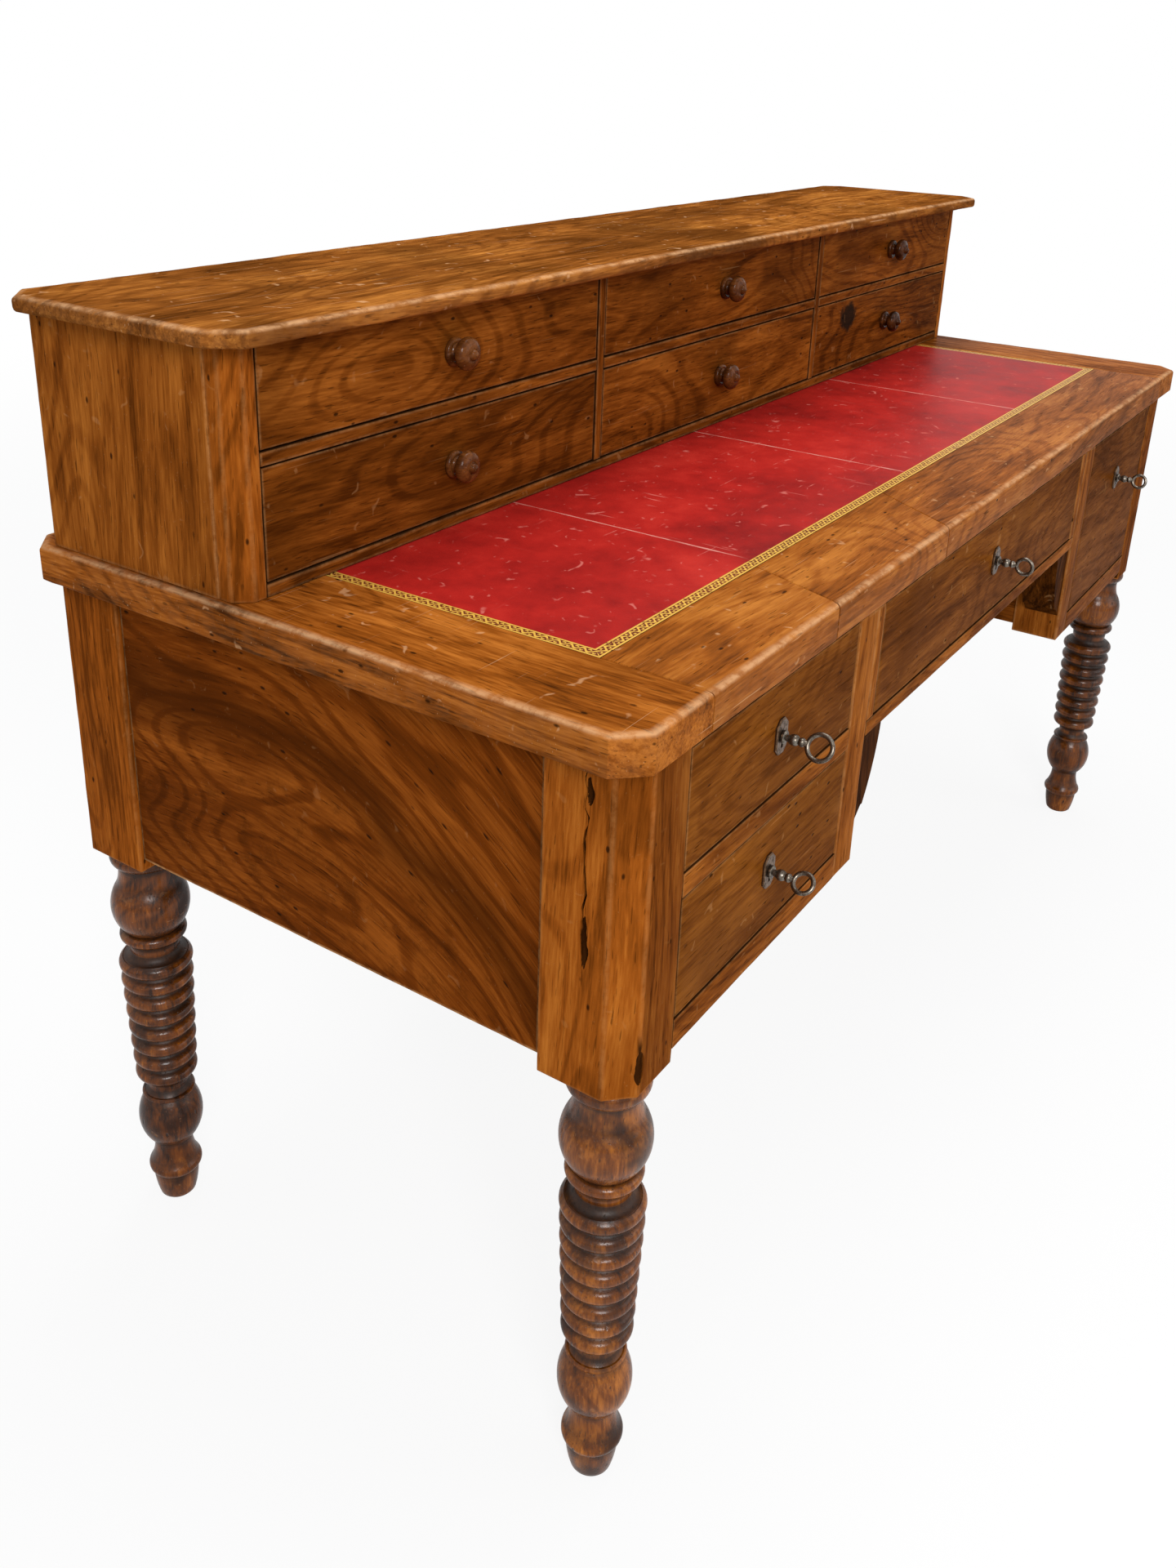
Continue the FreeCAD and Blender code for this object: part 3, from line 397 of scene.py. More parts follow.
# %% Soft corners and wear
def soften(piece, width):
    """Insets each face, then bevels every sharp edge; the bevels join the group of worn corners."""
    if "worn" not in piece.vertex_groups:
        piece.vertex_groups.new(name="worn")
    take(piece)
    begin_edit()
    bpy.ops.mesh.inset(thickness=3 * width, use_individual=True)
    bpy.ops.mesh.select_mode(type="EDGE")
    bpy.ops.mesh.select_all(action="DESELECT")
    bpy.ops.mesh.edges_select_sharp(sharpness=math.radians(25))
    bpy.ops.mesh.bevel(offset=width, segments=2, affect="EDGES", profile=0.5)
    bpy.ops.object.vertex_group_assign()
    end_edit()


def divide(piece, run, spacing):
    """Cuts the long edges of a board into short ones, so that its corners can be worn unevenly."""
    reach = [v.co[run] for v in piece.data.vertices]
    length = max(reach) - min(reach)
    pick(piece, "EDGE", lambda a, b: abs(a[run] - b[run]) > 0.5 * length)
    bpy.ops.mesh.subdivide(number_cuts=max(1, int(length / spacing)))
    end_edit()


def hollows(name, size):
    """A cloud texture that tells where a surface is pressed in."""
    texture = bpy.data.textures.new(name, "CLOUDS")
    texture.noise_scale = size
    texture.noise_depth = 3
    return texture


rubs, dents = hollows("rubs", 0.045), hollows("dents", 0.014)


def press(piece, texture, strength, **settings):
    """Pushes the points of a piece in and out by a cloud texture."""
    take(piece)
    modifier = piece.modifiers.new("press", "DISPLACE")
    modifier.texture, modifier.texture_coords, modifier.strength = texture, "LOCAL", strength
    for key, value in settings.items():
        setattr(modifier, key, value)
    bpy.ops.object.modifier_apply(modifier="press")


def wear(piece, depth):
    """Eats unevenly into the worn corners: long rubs and short dents."""
    for texture, share in ((rubs, 1.0), (dents, 0.7)):
        press(piece, texture, depth * share, vertex_group="worn", mid_level=0.75)


def lightly(place):
    """Edges beside a drawer are touched, but less than the rims of the tops."""
    return 0.35


def plank(name, low, high, run, arris=0.0012, depth=0.0006, spacing=0.014):
    """A worn board between two corners, with its grain along an axis."""
    piece = block(name, low, high)
    soften(piece, arris)
    divide(piece, run, spacing)
    wear(piece, depth)
    return piece


# %% [markdown]
# A finished piece gets its finish attribute, its material and the body that it rides on. Pieces that
# share a solid are joined into one object first.


# %% Finishing
def joined(name, *pieces):
    take(*pieces)
    bpy.ops.object.join()
    return named(name)


def copied(piece, name, shift=(0, 0, 0), flip=False):
    """A copy with its own mesh, moved in edit mode, or mirrored to the other side of the desk."""
    take(piece)
    bpy.ops.object.duplicate()
    twin = named(name)
    begin_edit()
    if flip:
        bpy.ops.transform.mirror(constraint_axis=(True, False, False), center_override=(0, 0, 0))
        bpy.ops.mesh.normals_make_consistent(inside=False)
    else:
        bpy.ops.transform.translate(value=shift)
    end_edit()
    return twin


def carve(piece, cutter):
    """Takes the cutter's shape out of a piece."""
    take(piece)
    cut = piece.modifiers.new("carve", "BOOLEAN")
    cut.operation, cut.solver, cut.object = "DIFFERENCE", "EXACT", cutter
    bpy.ops.object.modifier_apply(modifier="carve")
    bpy.data.objects.remove(cutter)


def finish(piece, material, body, solids=(), painted_shade=None, rub=None):
    """Writes the finish attribute and hands the piece to its body."""
    mesh = piece.data
    worn = piece.vertex_groups.get("worn")
    own = zlib.crc32(piece.name.encode()) % 997 / 997
    values = []
    for vertex in mesh.vertices:
        rubbed = sum(g.weight for g in vertex.groups if worn and g.group == worn.index)
        if rub:
            rubbed *= rub(vertex.co)
        # The second number is painted shade, from the function given for gaps, grooves or corners.
        values += [rubbed, painted_shade(vertex.co) if painted_shade else 0.0, own]
    layer = mesh.attributes.new("finish", "FLOAT_VECTOR", "POINT")
    layer.data.foreach_set("vector", values)
    piece.vertex_groups.clear()
    if material:
        mesh.materials.clear()
        mesh.materials.append(material)
    take(piece)
    bpy.ops.object.shade_smooth_by_angle(angle=math.radians(32))
    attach(piece, body)
    if solids:
        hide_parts(*solids)
    return piece


def finish_pair(left, right_name, material, solid, painted_shade=None, rub=None):
    """Finishes a piece of the desk's left side and its mirror image on the right."""
    right = copied(left, right_name, flip=True)
    finish(left, material, "desk", [solid], painted_shade, rub)
    finish(right, material, "desk", [], painted_shade, rub)


print("helpers ready")

# %% [markdown]
# The writing top is one thick slab to the eye: clipped corners, and an edge rounded by a century of
# sleeves. It is modelled whole, then copies are cut down to its boards with bisect, so that the rounding
# runs through the joints. The front board is three lengths with slanting joints.


# %% Writing top
def rounded_board(name, low, high, clip, top_round, under_round):
    """A slab with clipped corners and rounded upper and lower edges, noted as worn."""
    piece = block(name, low, high)
    chamfer(piece, lambda a, b: abs(a.z - b.z) > 0.01, clip)
    chamfer(piece, lambda a, b: min(a.z, b.z) > high[2] - 1e-4, top_round, 5, True)
    chamfer(piece, lambda a, b: max(a.z, b.z) < low[2] + 1e-4, under_round, 3, True)
    pick(piece, "FACE", lambda centre, normal: abs(normal.z) > 0.99)
    bpy.ops.mesh.inset(thickness=0.004, use_individual=True)
    bpy.ops.object.vertex_group_remove_from()
    end_edit()
    return piece


def rim_rub(top):
    """Sleeves rub a rim most where it turns from the top into the edge."""
    return lambda place: 0.05 + 0.75 * math.exp(-((place.z - top + 0.0013) / 0.0013) ** 2)


def cut_off(piece, at, towards):
    """Removes what lies beyond a plane and closes the cut."""
    take(piece)
    begin_edit()
    bpy.ops.mesh.bisect(plane_co=at, plane_no=towards, use_fill=True, clear_outer=True)
    end_edit()


def sliced(piece, run, spacing):
    """Cuts across a board at even steps, for boards whose faces have many sides."""
    reach = [v.co[run] for v in piece.data.vertices]
    count = int((max(reach) - min(reach)) / spacing)
    normal = [1.0 if axis == run else 0.0 for axis in range(3)]
    take(piece)
    bpy.ops.object.mode_set(mode="EDIT")
    for step in range(1, count):
        at = min(reach) + (max(reach) - min(reach)) * step / count
        bpy.ops.mesh.select_all(action="SELECT")
        bpy.ops.mesh.bisect(plane_co=[n * at for n in normal], plane_no=normal)
    end_edit()


TOP_LOW, TOP_HIGH = Vector((-0.795, -0.309, 0.736)), Vector((0.795, 0.346, 0.770))
LEATHER_SIDE, LEATHER_FRONT, LEATHER_BACK = 0.690, -0.209, 0.091
JOINT = 0.0003
slab = rounded_board("slab", TOP_LOW, TOP_HIGH, 0.024, 0.005, 0.003)


def slab_board(name, cuts, run, spacing=0.012):
    """A board of the top: a copy of the slab, cut down, sliced and worn."""
    board = copied(slab, name)
    for at, towards in cuts:
        cut_off(board, at, towards)
    chamfer(board, lambda a, b: any(all(abs((p - Vector(at)).dot(Vector(towards).normalized())) < 2e-5
                                        for p in (a, b)) for at, towards in cuts), 0.0007)
    sliced(board, run, spacing)
    wear(board, 0.0013)
    return board


def slanting(x, lean):
    """Both cuts of a slanting joint: the end of its left board and the start of its right one."""
    at, gap = Vector((x, -0.262, 0)), Vector((JOINT, 0, 0))
    return (at - gap, (1, -lean, 0)), (at + gap, (-1, lean, 0))


front_cut, back_cut = ((0, LEATHER_FRONT - JOINT, 0), (0, 1, 0)), ((0, LEATHER_BACK + JOINT, 0), (0, -1, 0))
left_end, right_end = ((-LEATHER_SIDE + JOINT, 0, 0), (-1, 0, 0)), ((LEATHER_SIDE - JOINT, 0, 0), (1, 0, 0))
first_end, second_start = slanting(-0.455, 0.38)
second_end, third_start = slanting(-0.180, 0.68)
for name, cuts, solids, spacing in (
        ("front_board_left", [front_cut, left_end, first_end], ["top_front_board"], 0.012),
        ("front_board_middle", [front_cut, second_start, second_end], [], 0.012),
        ("front_board_right", [front_cut, third_start, right_end], [], 0.012),
        ("back_board", [back_cut, left_end, right_end], ["top_back_board"], 0.03)):
    finish(slab_board(name, cuts, 0, spacing), top_walnut, "desk", solids, rub=rim_rub(TOP_HIGH.z))
left_cleat = slab_board("left_cleat", [((-LEATHER_SIDE - JOINT, 0, 0), (1, 0, 0))], 1)
finish_pair(left_cleat, "right_cleat", cleat_walnut, "top_end_cleats", rub=rim_rub(TOP_HIGH.z))
bpy.data.objects.remove(slab)
print("writing top: front board in three lengths, back board and two cleats")

# %% [markdown]
# The legs are turned on a lathe, and Blender's Spin tool is a lathe: one vertex is pulled along half of
# the outline and spun round the leg's axis. The outline is a chain of arcs, given as a widest or
# narrowest point and an end point for each bead, cove and ring.


# %% Outline of a leg
def arc(start, via, end, count):
    """Points on the circle through three points, without the first one."""
    (ax, ay), (bx, by), (cx, cy) = start, via, end
    d = 2 * (ax * (by - cy) + bx * (cy - ay) + cx * (ay - by))
    if abs(d) < 1e-12:
        return [via, end]
    ux = ((ax * ax + ay * ay) * (by - cy) + (bx * bx + by * by) * (cy - ay) + (cx * cx + cy * cy) * (ay - by)) / d
    uy = ((ax * ax + ay * ay) * (cx - bx) + (bx * bx + by * by) * (ax - cx) + (cx * cx + cy * cy) * (bx - ax)) / d
    radius = math.hypot(ax - ux, ay - uy)
    angles = [math.atan2(y - uy, x - ux) for x, y in (start, via, end)]
    turn = [(angle - angles[0]) % (2 * math.pi) for angle in angles]
    total = turn[2] if turn[1] < turn[2] else turn[2] - 2 * math.pi
    return [(ux + radius * math.cos(angles[0] + total * k / count),
             uy + radius * math.sin(angles[0] + total * k / count)) for k in range(1, count + 1)]


LEG_TOP = 0.442
outline = [(0.0, 0.0), (0.0172, 0.0), (0.0192, 0.0022)]
outline += arc(outline[-1], (0.0225, 0.0170), (0.0240, 0.0340), 8)


def turn_next(via, height, end, count=8, share=0.5):
    """Adds a bead, cove or ring on top of the outline; share tells how high its widest point sits."""
    radius, z = outline[-1]
    outline.extend(arc((radius, z), (via, z + height * share), (end, z + height), count))


turn_next(0.0281, 0.013, 0.0255)
turn_next(0.0210, 0.028, 0.0200)
turn_next(0.0335, 0.063, 0.0240, 18)
turn_next(0.0275, 0.005, 0.0240, 6)
turn_next(0.0198, 0.0194, 0.0245)
pitch = (0.3208 - outline[-1][1]) / 8
for ring in range(8):
    radius = 0.032 + 0.0051 * ring / 7
    turn_next(radius, pitch * 0.72, radius - 0.0036, 10, 0.55)
    if ring < 7:
        turn_next(radius - 0.0066, pitch * 0.28, radius - 0.0076, 4, 0.4)
z = outline[-1][1]
outline += [(0.0330, z + 0.0005), (0.0325, z), (0.0320, z + 0.0006)]
turn_next(0.0260, 0.0105, 0.0251, 8, 0.35)
turn_next(0.0255, 0.337 - outline[-1][1], 0.0275, 5)
turn_next(0.0335, 0.012, 0.0275)
turn_next(0.0390, 0.053, 0.0315, 18)
turn_next(0.0287, 0.024, 0.0285)
turn_next(0.0355, 0.016, 0.0330, 10)
outline.append((0.0, LEG_TOP))
print("leg outline:", len(outline), "points, ring pitch", round(pitch * 1000, 1), "mm")


# %% Turning
def turned(name, points, centre, axis, steps):
    """Pulls a vertex along the points and spins it round an axis through the centre."""
    bpy.ops.mesh.primitive_plane_add(size=0.01)
    piece = named(name)
    begin_edit()
    bpy.ops.mesh.select_mode(type="VERT")
    bpy.ops.mesh.merge(type="CENTER")
    bpy.ops.transform.translate(value=points[0])
    for first, second in zip(points, points[1:]):
        bpy.ops.mesh.extrude_vertices_move(TRANSFORM_OT_translate={"value": second - first})
    bpy.ops.mesh.select_all(action="SELECT")
    bpy.ops.mesh.spin(steps=steps, angle=2 * math.pi, center=centre, axis=axis)
    bpy.ops.mesh.select_all(action="SELECT")
    bpy.ops.mesh.remove_doubles(threshold=1e-5)
    bpy.ops.mesh.normals_make_consistent(inside=False)
    end_edit()
    return piece


LEG_X, LEG_FRONT, LEG_BACK = -0.735, -0.262, 0.293
front_turning = turned("front_turning", [Vector((LEG_X + r, LEG_FRONT, z)) for r, z in outline],
                       (LEG_X, LEG_FRONT, 0), (0, 0, 1), 56)
back_turning = copied(front_turning, "back_turning", (0, LEG_BACK - LEG_FRONT, 0))
print("one turned leg:", len(front_turning.data.vertices), "vertices")

# %% [markdown]
# Above the turning the leg stays square and is the corner post of the case. The front posts have a wide
# chamfer. The left one has split along its grain, so a long thin cutter, bent by noise, is carved out of
# it, and short fat ones make the gouges. Shade is painted where the turning is narrower than its
# surroundings, inside the cracks of the post, and on a front post's front face and inner face.


# %% Posts and legs
def splinter(name, at, size, wander):
    """A long pointed cutter for a crack or a chip, bent by noise."""
    bpy.ops.mesh.primitive_uv_sphere_add(segments=12, ring_count=40, radius=1.0)
    piece = named(name)
    begin_edit()
    bpy.ops.transform.resize(value=size)
    bpy.ops.transform.translate(value=at)
    end_edit()
    press(piece, dents, wander, direction="Y")
    return piece


def post(name, low, high, width):
    """A corner post; a width above zero chamfers its outer front corner."""
    piece = block(name, low, high)
    if width:
        chamfer(piece, lambda a, b: max(a.x, b.x) < low[0] + 1e-4 and max(a.y, b.y) < low[1] + 1e-4, width)
    soften(piece, 0.0011)
    divide(piece, 2, 0.012)
    wear(piece, 0.0009)
    piece.data.materials.append(post_walnut)
    return piece


radii = {round(z, 4): r for r, z in outline}
POST_OUT, POST_IN, POST_CHAMFER = 0.771, 0.699, 0.021
FRONT, POST_BACK, REAR_FRONT, REAR_BACK = -0.298, -0.216, 0.255, 0.329
CASE_LOW, CASE_TOP = 0.455, 0.736
WOUNDS = {"long_split": ((-0.771, -0.2545, 0.642), (0.006, 0.0010, 0.086), 0.010),
          "gouge": ((-0.772, -0.2565, 0.580), (0.006, 0.0034, 0.024), 0.006),
          "knot_hole": ((-0.772, -0.2575, 0.708), (0.005, 0.0030, 0.012), 0.005),
          "chip": ((-0.749, -0.2985, 0.470), (0.006, 0.004, 0.016), 0.008)}


def hurt(place):
    """Whether a point lies in or beside a crack or chip."""
    for at, (wide, deep, tall), bend in WOUNDS.values():
        reach = (wide * 1.3, deep * 1.3 + bend, tall * 1.3)
        if sum(((p - a) / r) ** 2 for p, a, r in zip(place, at, reach)) < 1:
            return True
    return False


def leg_rub(place):
    return 0.0 if hurt(place) else lightly(place)


def painted_leg_shade(place):
    """How much painted shade a point of a leg gets: more in the grooves, inside the cracks of the post, and on its
    front and inner faces.
    """
    if place.z > LEG_TOP - 1e-4:
        out_x, out_y = place.x + POST_OUT, place.y - FRONT
        # Painted shade on the front face of a front post, and full painted shade on its inner face beside the drawer.
        face_shade = 0.42 if place.y < -0.2970 and abs(place.x) < 0.7480 else 0.0
        face_shade = 1.0 if abs(place.x) < POST_IN + 0.0003 and place.y < POST_BACK else face_shade
        depth = min(out_x, out_y, (out_x + out_y - POST_CHAMFER) / 1.414)
        return 1.0 if hurt(place) and depth > 0.0004 else face_shade
    # Painted shade in the grooves of the turning: darker where it is narrower than its neighbours.
    near = [r for z, r in radii.items() if abs(z - place.z) < 0.007]
    centre_y = LEG_FRONT if place.y < 0 else LEG_BACK
    own = math.hypot(abs(place.x) - abs(LEG_X), place.y - centre_y)
    return max(0.0, min(0.95, (max(near) - own - 0.0012) / 0.0050))


front_post = post("front_post", (-POST_OUT, FRONT, LEG_TOP), (-POST_IN, POST_BACK, CASE_TOP), POST_CHAMFER)
back_post = post("back_post", (-POST_OUT, REAR_FRONT, LEG_TOP), (-POST_IN, REAR_BACK, CASE_TOP), 0)
for turning in (front_turning, back_turning):
    turning.data.materials.append(turned_walnut)
split_post = copied(front_post, "split_post")
for name, (at, size, bend) in WOUNDS.items():
    carve(split_post, splinter(name, at, size, bend))
right_turning = copied(front_turning, "right_turning")
legs = [joined("leg_front_left_turned", split_post, front_turning),
        joined("leg_rear_left_turned", back_post, back_turning)]
right_front = copied(joined("right_front", front_post, right_turning), "leg_front_right_turned", flip=True)
bpy.data.objects.remove(bpy.data.objects["right_front"])
legs += [right_front, copied(legs[1], "leg_rear_right_turned", flip=True)]
for leg, corner in zip(legs, ("front_left", "rear_left", "front_right", "rear_right")):
    finish(leg, None, "desk", [f"leg_{corner}"], painted_leg_shade, leg_rub)
print("legs:", [leg.name for leg in legs])

# %% [markdown]
# The rest of the case is boards and rails. Where a drawer is locked, its bolt rises into the rail above,
# so the rails get the same mortises that the solids have.


# %% Case
def painted_corner_shade(place):
    """Painted shade in the corner between the side board and its posts."""
    return max(0.0, 1.0 - min(place.y - POST_BACK, REAR_FRONT - place.y) / 0.004)


def painted_gap_shade(front):
    """Painted shade on the walls of the narrow gaps round a drawer."""
    return lambda place: max(0.0, min(1.0, (place.y - front - 0.0001) / 0.0006))


def painted_stile_shade(place):
    """Painted shade on the inner faces beside the gallery drawers."""
    return float(abs(place.x) < GALLERY_IN + 0.0003)


left_panel = plank("side_panel_left", (-0.767, POST_BACK, CASE_LOW), (-0.749, REAR_FRONT, CASE_TOP), 1)
finish_pair(left_panel, "side_panel_right", panel_walnut, "side_panels", painted_corner_shade)

RAIL_BACK, TOP_RAIL = -0.238, 0.726
KNEE_OUT, KNEE_IN, FILLET_IN = 0.392, 0.350, 0.334
rails = [plank(f"rail_{name}", (x0, FRONT, z0), (x1, RAIL_BACK, z1), 0, 0.0007, 0.0005)
         for name, x0, x1, z0, z1 in (("top", -POST_IN, POST_IN, TOP_RAIL, CASE_TOP),
                                      ("mid", -POST_IN, -KNEE_OUT, 0.596, 0.618),
                                      ("left", -POST_IN, -KNEE_OUT, CASE_LOW, 0.483),
                                      ("right", KNEE_OUT, POST_IN, CASE_LOW, 0.483),
                                      ("centre", -KNEE_IN, KNEE_IN, 0.592, 0.608))]
front_frame = joined("front_rails_worn", *rails)
LOCKS = {"upper_left": (-0.5455, 0.7248, 0.6728), "lower_left": (-0.5455, 0.5948, 0.5428),
         "centre": (0.0, 0.7248, 0.6728), "right": (0.5455, 0.7248, 0.6468)}
for name, (x, edge, _) in LOCKS.items():
    carve(front_frame, block("mortise", (x - 0.0145, -0.2840, edge), (x + 0.0145, -0.2780, edge + 0.0082)))
finish(front_frame, walnut_x, "desk", ["front_rails"], painted_gap_shade(FRONT), lightly)

uprights = [plank("knee_post", (-KNEE_OUT, FRONT, CASE_LOW), (-KNEE_IN, -0.236, TOP_RAIL), 2),
            plank("knee_fillet", (-KNEE_IN, FRONT, 0.608), (-FILLET_IN, -0.268, TOP_RAIL), 2)]
left_knee = joined("kneehole_post_left", *uprights)
finish_pair(left_knee, "kneehole_post_right", walnut_z, "kneehole_posts", rub=lightly)
print("case: panels, rails and kneehole posts")

# %% [markdown]
# The gallery stands on the top. Its sides have upright grain, its front corners are chamfered stiles, and
# its drawers sit between thin shelves and dividers whose edges show as narrow strips.

# %% Gallery
GALLERY_FRONT, STILE_BACK, GALLERY_BACK = 0.071, 0.099, 0.301
GALLERY_LOW, BASE_TOP, GALLERY_HIGH, TOP_BOARD_HIGH = 0.770, 0.782, 0.982, 0.997
GALLERY_OUT, GALLERY_IN = 0.786, 0.759
left_side = plank("gallery_side_left", (-GALLERY_OUT, STILE_BACK, GALLERY_LOW), (-GALLERY_IN, 0.311, GALLERY_HIGH), 2)
finish_pair(left_side, "gallery_side_right", walnut_z, "gallery_sides", rub=lightly)
left_stile = post("gallery_stile_left", (-GALLERY_OUT, GALLERY_FRONT, GALLERY_LOW),
                  (-GALLERY_IN, STILE_BACK, GALLERY_HIGH), 0.014)
finish_pair(left_stile, "gallery_stile_right", post_walnut, "gallery_stiles", painted_stile_shade, lightly)
base = plank("gallery_base_board", (-GALLERY_IN, GALLERY_FRONT, GALLERY_LOW), (GALLERY_IN, GALLERY_BACK, BASE_TOP), 0)
finish(base, walnut_x, "desk", ["gallery_base"], painted_gap_shade(GALLERY_FRONT), lightly)
COLUMNS = {"left": (-GALLERY_IN, -0.2765), "middle": (-0.2635, 0.2635), "right": (0.2765, GALLERY_IN)}
dividers = [plank(f"divider_{side}", (side * 0.270 - 0.0065, GALLERY_FRONT, BASE_TOP),
                  (side * 0.270 + 0.0065, GALLERY_BACK, GALLERY_HIGH), 2, 0.0010, 0.0005) for side in (-1, 1)]
upright_strips = joined("gallery_dividers", *dividers)
finish(upright_strips, walnut_z, "desk", ["gallery_partitions"], painted_gap_shade(GALLERY_FRONT), lightly)
shelves = [plank(f"shelf_{name}", (x0, GALLERY_FRONT, 0.881), (x1, GALLERY_BACK, 0.893), 0, 0.0010, 0.0005)
           for name, (x0, x1) in COLUMNS.items()]
finish(joined("gallery_shelves", *shelves), walnut_x, "desk", [], painted_gap_shade(GALLERY_FRONT), lightly)
gallery_top = rounded_board("gallery_top_board", (-0.814, 0.043, GALLERY_HIGH), (0.814, 0.316, TOP_BOARD_HIGH),
                            0.025, 0.005, 0.005)
sliced(gallery_top, 0, 0.012)
wear(gallery_top, 0.0012)
finish(gallery_top, gallery_walnut, "desk", ["gallery_top"], rub=rim_rub(TOP_BOARD_HIGH))
print("gallery: sides, stiles, base, shelves, dividers and top")

# %% [markdown]
# A drawer front is a worn board with holes in its hidden sides: dovetail sockets, which a copy of the
# drawer box cuts to fit, and for the locked drawers a recess for the lock and a keyhole.


# %% Drawer fronts
DRAWER_FACE, GALLERY_FACE = -0.2972, 0.0718


def box_cutter(node):
    """A merged copy of a drawer box, to cut the dovetail sockets with."""
    cutter = nodes[node].copy()
    cutter.data = cutter.data.copy()
    cutter.name = "sockets"
    cutter.parent = None
    bpy.context.scene.collection.objects.link(cutter)
    take(cutter)
    begin_edit()
    bpy.ops.mesh.remove_doubles(threshold=1e-6)
    end_edit()
    return cutter


def drawer_front(node, box_node, lock=None):
    """A worn drawer front that just clears its opening."""
    low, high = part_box(node)
    shy = Vector((0.0001, 0.0, 0.0))
    board = plank(f"{node}_worn", low + shy, high - shy - Vector((0, 0.0001, 0)), 0, 0.0008, 0.0006, 0.010)
    carve(board, box_cutter(box_node))
    if lock:
        x, edge, z = lock
        carve(board, block("recess", (x - 0.0281, -0.2883, z - 0.0141), (x + 0.0281, -0.27, edge + 0.004)))
        carve(board, block("key_slot", (x - 0.0018, -0.30, z - 0.0106), (x + 0.0018, -0.285, z)))
        carve(board, turned("key_hole", [Vector(p) for p in ((x, -0.30, z), (x + 0.0033, -0.30, z),
                                                            (x + 0.0033, -0.285, z), (x, -0.285, z))],
                            (x, 0, z), (0, 1, 0), 20))
    return board


for name, lock in LOCKS.items():
    front = drawer_front(f"drawer_front_{name}", f"drawer_box_{name}", lock)
    finish(front, front_walnut, f"drawer_{name}", [f"drawer_front_{name}"], painted_gap_shade(DRAWER_FACE), lightly)
GALLERY_DRAWERS = [f"{row}_{column}" for row in ("lower", "upper") for column in COLUMNS]
for name in GALLERY_DRAWERS:
    front = drawer_front(f"gallery_front_{name}", f"gallery_box_{name}")
    wood = knot_walnut if name == "lower_right" else walnut_x
    finish(front, wood, f"gallery_drawer_{name}", [f"gallery_front_{name}"], painted_gap_shade(GALLERY_FACE), lightly)
print("drawer fronts: four with locks, six in the gallery")

# %% [markdown]
# Knobs are small turnings: a flange against the drawer, a thin neck, a round head and a button set off
# by a cut line. One knob is spun and copied to every gallery drawer.

# %% Knobs
knob_outline = [(0.0, 0.0), (0.0110, 0.0)]
for via, end, count in (((0.0135, 0.0025), (0.0085, 0.0055), 8), ((0.0068, 0.0085), (0.0080, 0.0115), 6),
                        ((0.0155, 0.0170), (0.0130, 0.0222), 14), ((0.0100, 0.0236), (0.0062, 0.0240), 5)):
    knob_outline += arc(knob_outline[-1], via, end, count)
knob_outline += [(0.0058, 0.0235), (0.0052, 0.0240)]
knob_outline += arc(knob_outline[-1], (0.0038, 0.0272), (0.0, 0.0290), 8)


def knob_place(node):
    """The middle of a knob's foot on its drawer."""
    low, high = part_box(node)
    return Vector(((low.x + high.x) / 2, GALLERY_FACE, (low.z + high.z) / 2))


first_place = knob_place("gallery_knob_upper_left")
knob = turned("knob", [first_place + Vector((r, -out, 0)) for r, out in knob_outline],
              first_place, (0, 1, 0), 40)
for name in GALLERY_DRAWERS:
    node = f"gallery_knob_{name}"
    twin = copied(knob, f"{node}_turned", knob_place(node) - first_place)
    finish(twin, knob_walnut, f"gallery_drawer_{name}", [node])
bpy.data.objects.remove(knob)
print("knobs: six")

# %% [markdown]
# The keys have a ring for the fingers, a shaft with a ball and collars, and a small bit inside the lock.
# Ring, shaft and bit are shaped one by one and joined, then the key is turned as it was left.


# %% Keys
def ring_key(name, x, z, ring_dia, turn_deg):
    """A key in its lock, turned by some degrees."""
    shaft_outline = [(0.0, 0.0105), (0.0028, 0.0105), (0.0028, -0.0022), (0.0058, -0.0024), (0.0060, -0.0040),
                     (0.0048, -0.0050), (0.0030, -0.0056), (0.0029, -0.0075)]
    shaft_outline += arc((0.0029, -0.0075), (0.0050, -0.0120), (0.0029, -0.0165), 10)
    shaft_outline += arc((0.0029, -0.0165), (0.0040, -0.0190), (0.0029, -0.0215), 8)
    shaft_outline += [(0.0026, -0.0235), (0.0, -0.0240)]
    shaft = turned(f"{name}_shaft", [Vector((x + r, FRONT + out, z)) for r, out in shaft_outline],
                   (x, FRONT, z), (0, 1, 0), 24)
    bpy.ops.mesh.primitive_torus_add(major_radius=ring_dia / 2 - 0.0021, minor_radius=0.0021,
                                     major_segments=48, minor_segments=14)
    bow = named(f"{name}_bow")
    begin_edit()
    bpy.ops.transform.resize(value=(1, 1, 0.85))
    bpy.ops.transform.rotate(value=math.pi / 2, orient_axis="Y", center_override=(0, 0, 0))
    bpy.ops.transform.translate(value=(x, FRONT - 0.022 - ring_dia / 2, z))
    end_edit()
    bit = block(f"{name}_bit", (x - 0.0012, -0.2858, z - 0.0090), (x + 0.0012, -0.2836, z - 0.0020))
    chamfer(bit, lambda a, b: True, 0.0003)
    key = joined(f"{name}_forged", shaft, bow, bit)
    begin_edit()
    bpy.ops.transform.rotate(value=-math.radians(turn_deg), orient_axis="Y", center_override=(x, FRONT, z))
    end_edit()
    return key


for name, ring_dia, turn_deg in (("upper_left", 0.026, 29), ("lower_left", 0.022, 46), ("centre", 0.022, 0),
                                 ("right", 0.022, 14)):
    x, _, z = LOCKS[name]
    key = ring_key(f"key_{name}", x, z, ring_dia, turn_deg)
    finish(key, key_steel, f"key_{name}", [f"key_{name}"])
print("keys: four")

